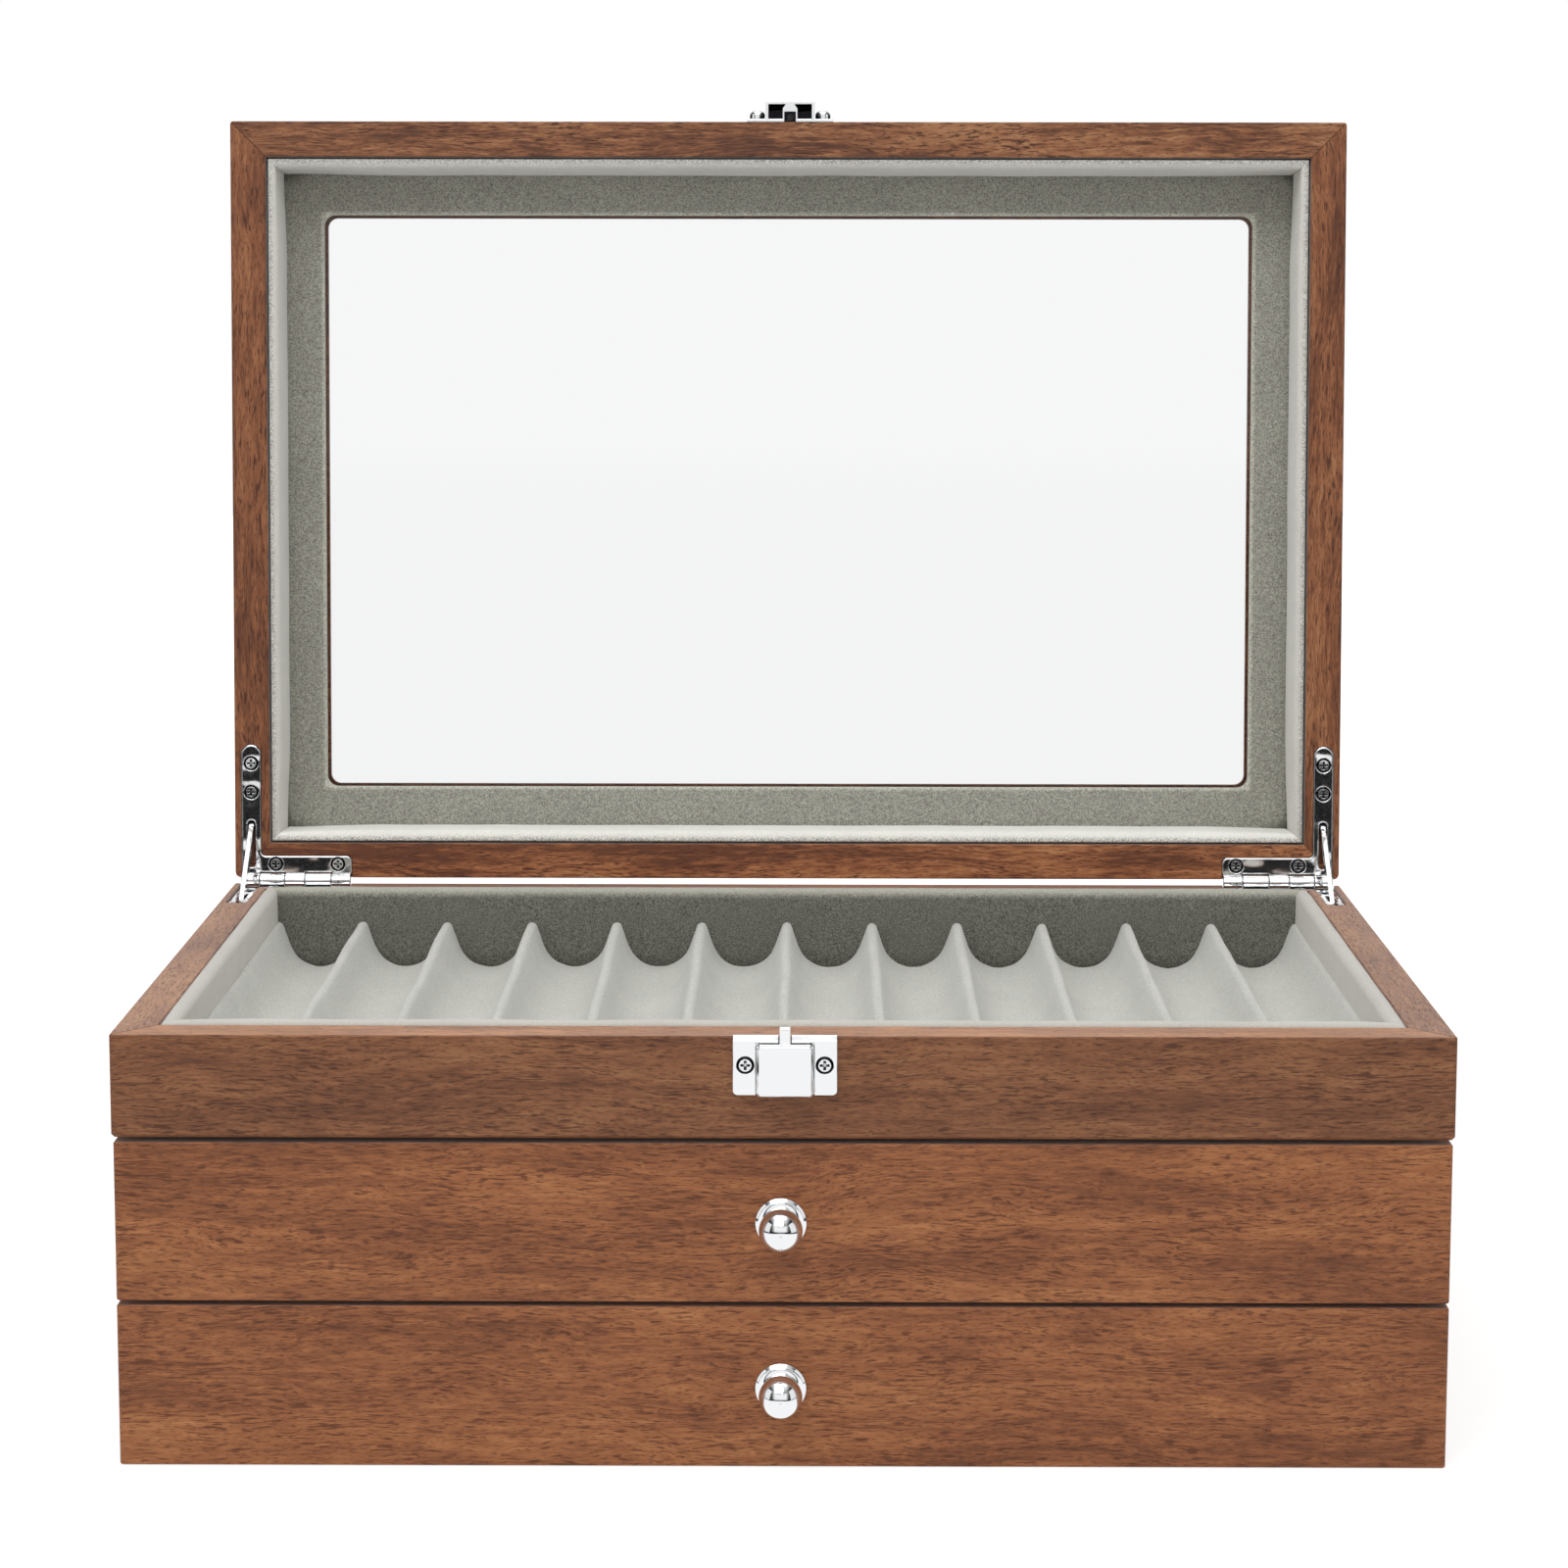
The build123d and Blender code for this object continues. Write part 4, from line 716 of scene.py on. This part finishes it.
def bolster(side, seed):
    """A padded roll inside the lid wall, pinched where it meets its neighbours."""
    low, high, half, shut_place = beside("lid_bolster_", side, shut=True)
    rim, back = low[2], high[2] - 0.1
    full, pinched = FULL_ROLL[side], PINCHED_ROLL[side]

    def profile(t):
        s = t * half
        swell = smooth_step((1 - abs(t)) * half / PINCH_LENGTH)
        w = pinched + (full - pinched) * swell + 0.10 * wave(s, 0.0, seed, 31.0)
        lip = rim + 0.05 + 0.10 * wave(s, 5.0, seed + 1, 23.0) * swell
        nose = w - ROLL_GAP - 0.9
        loop = [(ROLL_GAP, back), (ROLL_GAP, lip + 6.0), (ROLL_GAP, lip + ROLL_EDGE)]
        for x, y in quarter(4)[1:]:
            loop.append((ROLL_GAP + ROLL_EDGE * x, lip + ROLL_EDGE * y))
        for x, y in quarter(8):
            loop.append((w - nose * y, lip + nose * x))
        for depth, crown in ROLL_CROWN:
            loop.append((w + crown * swell, lip + depth))
        return loop + [(w - 0.5, back - 0.5), (w - 1.2, back)]

    def place(s, u, w):
        return opened(shut_place(s, u, w))

    points, faces = mitred(half, profile, place, 73)
    name, node = f"bolster_{side}_velvet", "lid_bolster_" + side
    obj = make(name, points, faces, "lid", roll_velvet(side), node)
    return obj


for k, side in enumerate(SIDES):
    bolster(side, 60 + k)


# -------------------------------------------------------------- frames of velvet
def rounded_path(half_x, half_y, radius, per_corner):
    """Points round a rounded rectangle, and outward directions at them."""
    points, ways = [], []
    for corner in range(4):
        cx = (half_x - radius) * (1, -1, -1, 1)[corner]
        cy = (half_y - radius) * (1, 1, -1, -1)[corner]
        for k in range(per_corner + 1):
            a = math.pi / 2 * (corner + k / per_corner)
            way = (math.cos(a), math.sin(a))
            points.append((cx + radius * way[0], cy + radius * way[1]))
            ways.append(way)
    return np.array(points), np.array(ways)


def spread(path, ways, count):
    """Extra points along the straight runs of such a path."""
    out_p, out_w = [], []
    total = len(path)
    for i in range(total):
        a, b = path[i], path[(i + 1) % total]
        wa, wb = ways[i], ways[(i + 1) % total]
        n = count if np.linalg.norm(b - a) > 20 else 1
        for k in range(n):
            out_p.append(a + (b - a) * k / n)
            out_w.append(wa + (wb - wa) * k / n)
    return np.array(out_p), np.array(out_w)


def to_rectangle(points, centre, half_x, half_y):
    """Each point pushed out to a rectangle, straight away from its middle."""
    rel = points - centre
    scale = np.maximum(np.abs(rel[:, 0]) / half_x, np.abs(rel[:, 1]) / half_y)
    return centre + rel / scale[:, None]


MAT_ROUND = 0.9    # where the velvet turns over the board's edge
MAT_CORNER = 3.5   # radius of the opening's corners, seen from the front


def mat():
    """The velvet-covered board round the window."""
    low, high = measures("lid_mat", shut=True)
    inset = 0.1
    path, ways = spread(*rounded_path(*MAT_OPENING, MAT_CORNER, 8), 24)
    outer = to_rectangle(path, np.zeros(2), high[0] - inset, high[1] - inset)
    front, back, r = low[2], high[2] - inset, MAT_ROUND
    rings = [(outer, back), (outer, front)]
    edge = path + ways * r
    for share in (0.75, 0.5, 0.25, 0.1):
        rings.append((edge + (outer - edge) * share, front))
    for x, y in quarter(5):
        rings.append((path + ways * r * y, front + r * x))
    rings.append((path, back))
    sections = []
    for i in range(len(path)):
        loop = []
        for number, (ring, z) in enumerate(rings):
            x, y = ring[i]
            dip = 0.06 * abs(float(wave(x, y, 5, 24.0))) if 2 <= number <= 5 else 0.0
            loop.append((x, y, z + dip))
        sections.append(opened(loop))
    points, faces = loft(sections, True)
    obj = make("mat_velvet", points, faces, "lid", velvet_mat, "lid_mat")
    return obj


mat()

FRAME_THICK = 4.8   # the velvet frame inside a drawer
FRAME_ROUND = 1.6


def drawer_liner(level):
    """The velvet frame inside a drawer, with a soft rounded top."""
    low, high = measures(f"drawer_{level}_liner")
    floor, top, r = low[2], high[2], FRAME_ROUND
    centre = (low[:2] + high[:2]) / 2
    half_x, half_y = (high[:2] - low[:2]) / 2
    path, ways = spread(*rounded_path(half_x - FRAME_THICK, half_y - FRAME_THICK, 0.4, 3), 30)
    path = path + centre
    outer = to_rectangle(path, centre, half_x - 0.05, half_y - 0.05)
    sections = []
    for a, b in zip(path, outer):
        way = (b - a) / np.linalg.norm(b - a)
        lift = 0.07 * float(wave(a[0], a[1], 80, 27.0))
        loop = [(*b, floor)]
        for x, y in quarter(5):
            loop.append((*(b - way * r * x), top - r * y + lift))
        for x, y in reversed(quarter(5)):
            loop.append((*(a + way * r * x), top - r * y + lift))
        loop.append((*a, floor))
        sections.append(np.array(loop))
    points, faces = loft(sections, True)
    name, node = f"liner_{level}_drawer_velvet", f"drawer_{level}_liner"
    obj = make(name, points, faces, "drawer_" + level, velvet_liner, node)
    return obj


drawer_liner("upper")
drawer_liner("lower")


FELT_CORNER = 4.0
FELT_EDGE = 0.25   # softness of its cut lower edge


def base_sheet():
    """The felt under the base, glued flat, with slightly soft cut edges."""
    low, high = measures("base_felt")
    centre, (half_x, half_y) = (low[:2] + high[:2]) / 2, (high[:2] - low[:2]) / 2
    path, ways = spread(*rounded_path(half_x, half_y, FELT_CORNER, 8), 40)
    rings = [(0.0, high[2]), (0.0, FELT_EDGE), (FELT_EDGE, 0.0)]
    loops = []
    for inset, z in rings:
        ring = path - ways * inset + centre
        loops.append(np.column_stack([ring, np.full(len(ring), z)]))
    count = len(path)
    points = np.concatenate(loops)
    faces = []
    for r in range(len(loops) - 1):
        for i in range(count):
            k = (i + 1) % count
            faces.append((r * count + i, r * count + k, (r + 1) * count + k, (r + 1) * count + i))
    faces.append(tuple(range(count)))
    faces.append(tuple((len(loops) - 1) * count + i for i in range(count)))
    obj = make("base_felt_sheet", points, faces, "case", felt_cloth, "base_felt", False)
    return obj


base_sheet()


def pressed_spring():
    """The coil behind the button, as its solid is."""
    solid = NODES["latch_spring"]
    low, high = measures("latch_spring")
    obj = bpy.data.objects.new("latch_coil", solid.data.copy())
    bpy.context.scene.collection.objects.link(obj)
    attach(obj, "case")
    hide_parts("latch_spring")
    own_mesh(obj)


pressed_spring()

# ------------------------------------------------------------- floor and lighting
FLOOR_RADIUS = 3.2                 # m
FLOOR_SIDES = 64
FLOOR_TONE = (0.82, 0.82, 0.82, 1)
DARK = (0.02, 0.02, 0.02)          # what mirrors see far out to the sides
FLOOR_DARKENS = (420.0, 620.0)     # mm to the side where mirrors' floor starts to darken, is dark
FLOOR_SHARE = 0.02                 # of its white that is left there
SHADOW_REACH = (450.0, 1100.0)     # mm from the middle where the shadow starts to fade, and ends
SHADOW_DIM = 0.34                  # how far the floor's own light is lowered near the chest
SHADOW_LIT = 0.55                  # how strongly the lamps light the floor for the camera
RAY_KINDS = ("Camera", "Glossy", "Transmission")   # rays that see the floor and room as such


def stage_floor():
    """A round floor: pale where it lights the chest, white to the camera and to mirrors."""
    turns = np.linspace(0, math.tau, FLOOR_SIDES + 1)[:-1]
    ring = [(FLOOR_RADIUS * math.cos(a), FLOOR_RADIUS * math.sin(a), 0) for a in turns]
    mesh = bpy.data.meshes.new("floor")
    mesh.from_pydata(ring, [], [tuple(range(FLOOR_SIDES))])
    floor = bpy.data.objects.new("floor", mesh)
    bpy.context.scene.collection.objects.link(floor)
    g = Graph("floor_pale")
    rays = g.node("ShaderNodeLightPath").outputs
    direct, mirror, through = (rays[f"Is {kind} Ray"] for kind in RAY_KINDS)
    seen = g.math("MAXIMUM", g.math("MAXIMUM", direct, through), mirror)
    # mirrors see the floor white in front of the chest and dark far out to its sides
    aside = g.span(g.math("ABSOLUTE", g.split(g.coords())[0]), *FLOOR_DARKENS, 1.0, FLOOR_SHARE)
    mirror_ray = g.math("SUBTRACT", mirror, through, clamp=True)
    mirrored = g.mix(mirror_ray, (1, 1, 1), g.mix(aside, DARK, (1, 1, 1)))
    # near the chest the camera sees it just white in full light, so it keeps a soft shadow
    away = g.node("ShaderNodeVectorMath", {0: g.coords()}, operation="LENGTH").outputs["Value"]
    dimmer = g.smooth(away, *SHADOW_REACH, SHADOW_DIM, 0.0)
    glow = g.math("SUBTRACT", 1.0, g.math("MULTIPLY", direct, dimmer))
    white = g.node("ShaderNodeEmission", {"Color": mirrored, "Strength": glow}).outputs[0]
    pale = g.node("ShaderNodeBsdfDiffuse", {"Color": FLOOR_TONE}).outputs[0]
    lit = g.math("MULTIPLY", direct, SHADOW_LIT)
    faint = g.node("ShaderNodeBsdfDiffuse", {"Color": g.vector(lit, lit, lit)}).outputs[0]
    shown = g.node("ShaderNodeAddShader", {0: white, 1: faint}).outputs[0]
    both = g.node("ShaderNodeMixShader", {0: seen, 1: pale, 2: shown}).outputs[0]
    floor.data.materials.append(g.surface(both))


stage_floor()

# the room that mirrors see: height above the horizon, from 0 to 1, and its light there
ROOM = (
    (0.0, 0.015), (0.075, 0.015), (0.09, 0.85), (0.35, 1.0), (0.55, 0.9), (0.62, 0.30), (1.0, 1.0),
)
ROOM_DARKENS = (0.50, 0.72)   # sideways part of a direction where it starts to darken, is dark
ROOM_SHARE = 0.06             # of its own light that is left there
FILL = 0.42                   # strength of the plain light that the room gives


def studio():
    """The world: white to the camera, plain light for the chest, a room for mirrors."""
    g = Graph("studio", world=True)
    rays = g.node("ShaderNodeLightPath").outputs
    direct, mirror, through = (rays[f"Is {kind} Ray"] for kind in RAY_KINDS)
    way = g.split(g.node("ShaderNodeTexCoord").outputs["Generated"])
    band = g.ramp(way[2], [(at, (level, level, level)) for at, level in ROOM])
    dim = g.span(g.math("ABSOLUTE", way[0]), *ROOM_DARKENS, 1.0, ROOM_SHARE)
    room = g.node("ShaderNodeBackground", {0: g.mix(dim, DARK, band)}).outputs[0]
    soft = g.node("ShaderNodeBackground", {0: (1, 1, 1, 1), 1: FILL}).outputs[0]
    plain = g.node("ShaderNodeBackground", {0: (1, 1, 1, 1), 1: 1.0}).outputs[0]
    unseen = g.node("ShaderNodeMixShader", {0: mirror, 1: soft, 2: room}).outputs[0]
    look = g.math("MAXIMUM", direct, through)
    both = g.node("ShaderNodeMixShader", {0: look, 1: unseen, 2: plain}).outputs[0]
    bpy.context.scene.world = g.surface(both)


studio()


def lamp(name, place, target, size, power):
    """A large soft panel light aimed at a point."""
    data = bpy.data.lights.new(name, "AREA")
    data.shape = "RECTANGLE"
    data.size, data.size_y = size
    data.energy = power
    obj = bpy.data.objects.new(name, data)
    obj.location = place
    aim = Vector(target) - Vector(place)
    obj.rotation_euler = aim.to_track_quat("-Z", "Y").to_euler()
    bpy.context.scene.collection.objects.link(obj)


# name, place, target and size in m, power in W
LAMPS = (
    ("key", (-0.25, -1.1, 1.5), (0, 0, 0.12), (1.5, 1.0), 13),
    ("top", (0.0, 0.15, 1.7), (0, 0, 0.1), (1.6, 1.2), 8),
    ("left", (-1.6, -0.5, 0.6), (0, 0, 0.15), (1.0, 1.2), 3),
    ("right", (1.6, -0.5, 0.6), (0, 0, 0.15), (1.0, 1.2), 3),
)
for settings in LAMPS:
    lamp(*settings)

# ------------------------------------------------------------------------ camera
# fitted to the photograph, with the optical centre held in the middle of the picture
LENS, SENSOR = 93.9, 36.0                  # mm
CAMERA_PLACE = (0.0053, -1.1594, 0.3303)   # m
CAMERA_TURN = (81.87, -0.079, 0.29)        # degrees about X, Y and Z
NEAREST = 0.05                             # m

lens = bpy.data.cameras.new("camera")
lens.lens = LENS
lens.sensor_width = SENSOR
lens.clip_start = NEAREST
camera = bpy.data.objects.new("camera", lens)
camera.location = CAMERA_PLACE
camera.rotation_euler = [math.radians(a) for a in CAMERA_TURN]
bpy.context.scene.collection.objects.link(camera)
bpy.context.scene.camera = camera
bpy.context.scene.view_settings.view_transform = "Standard"
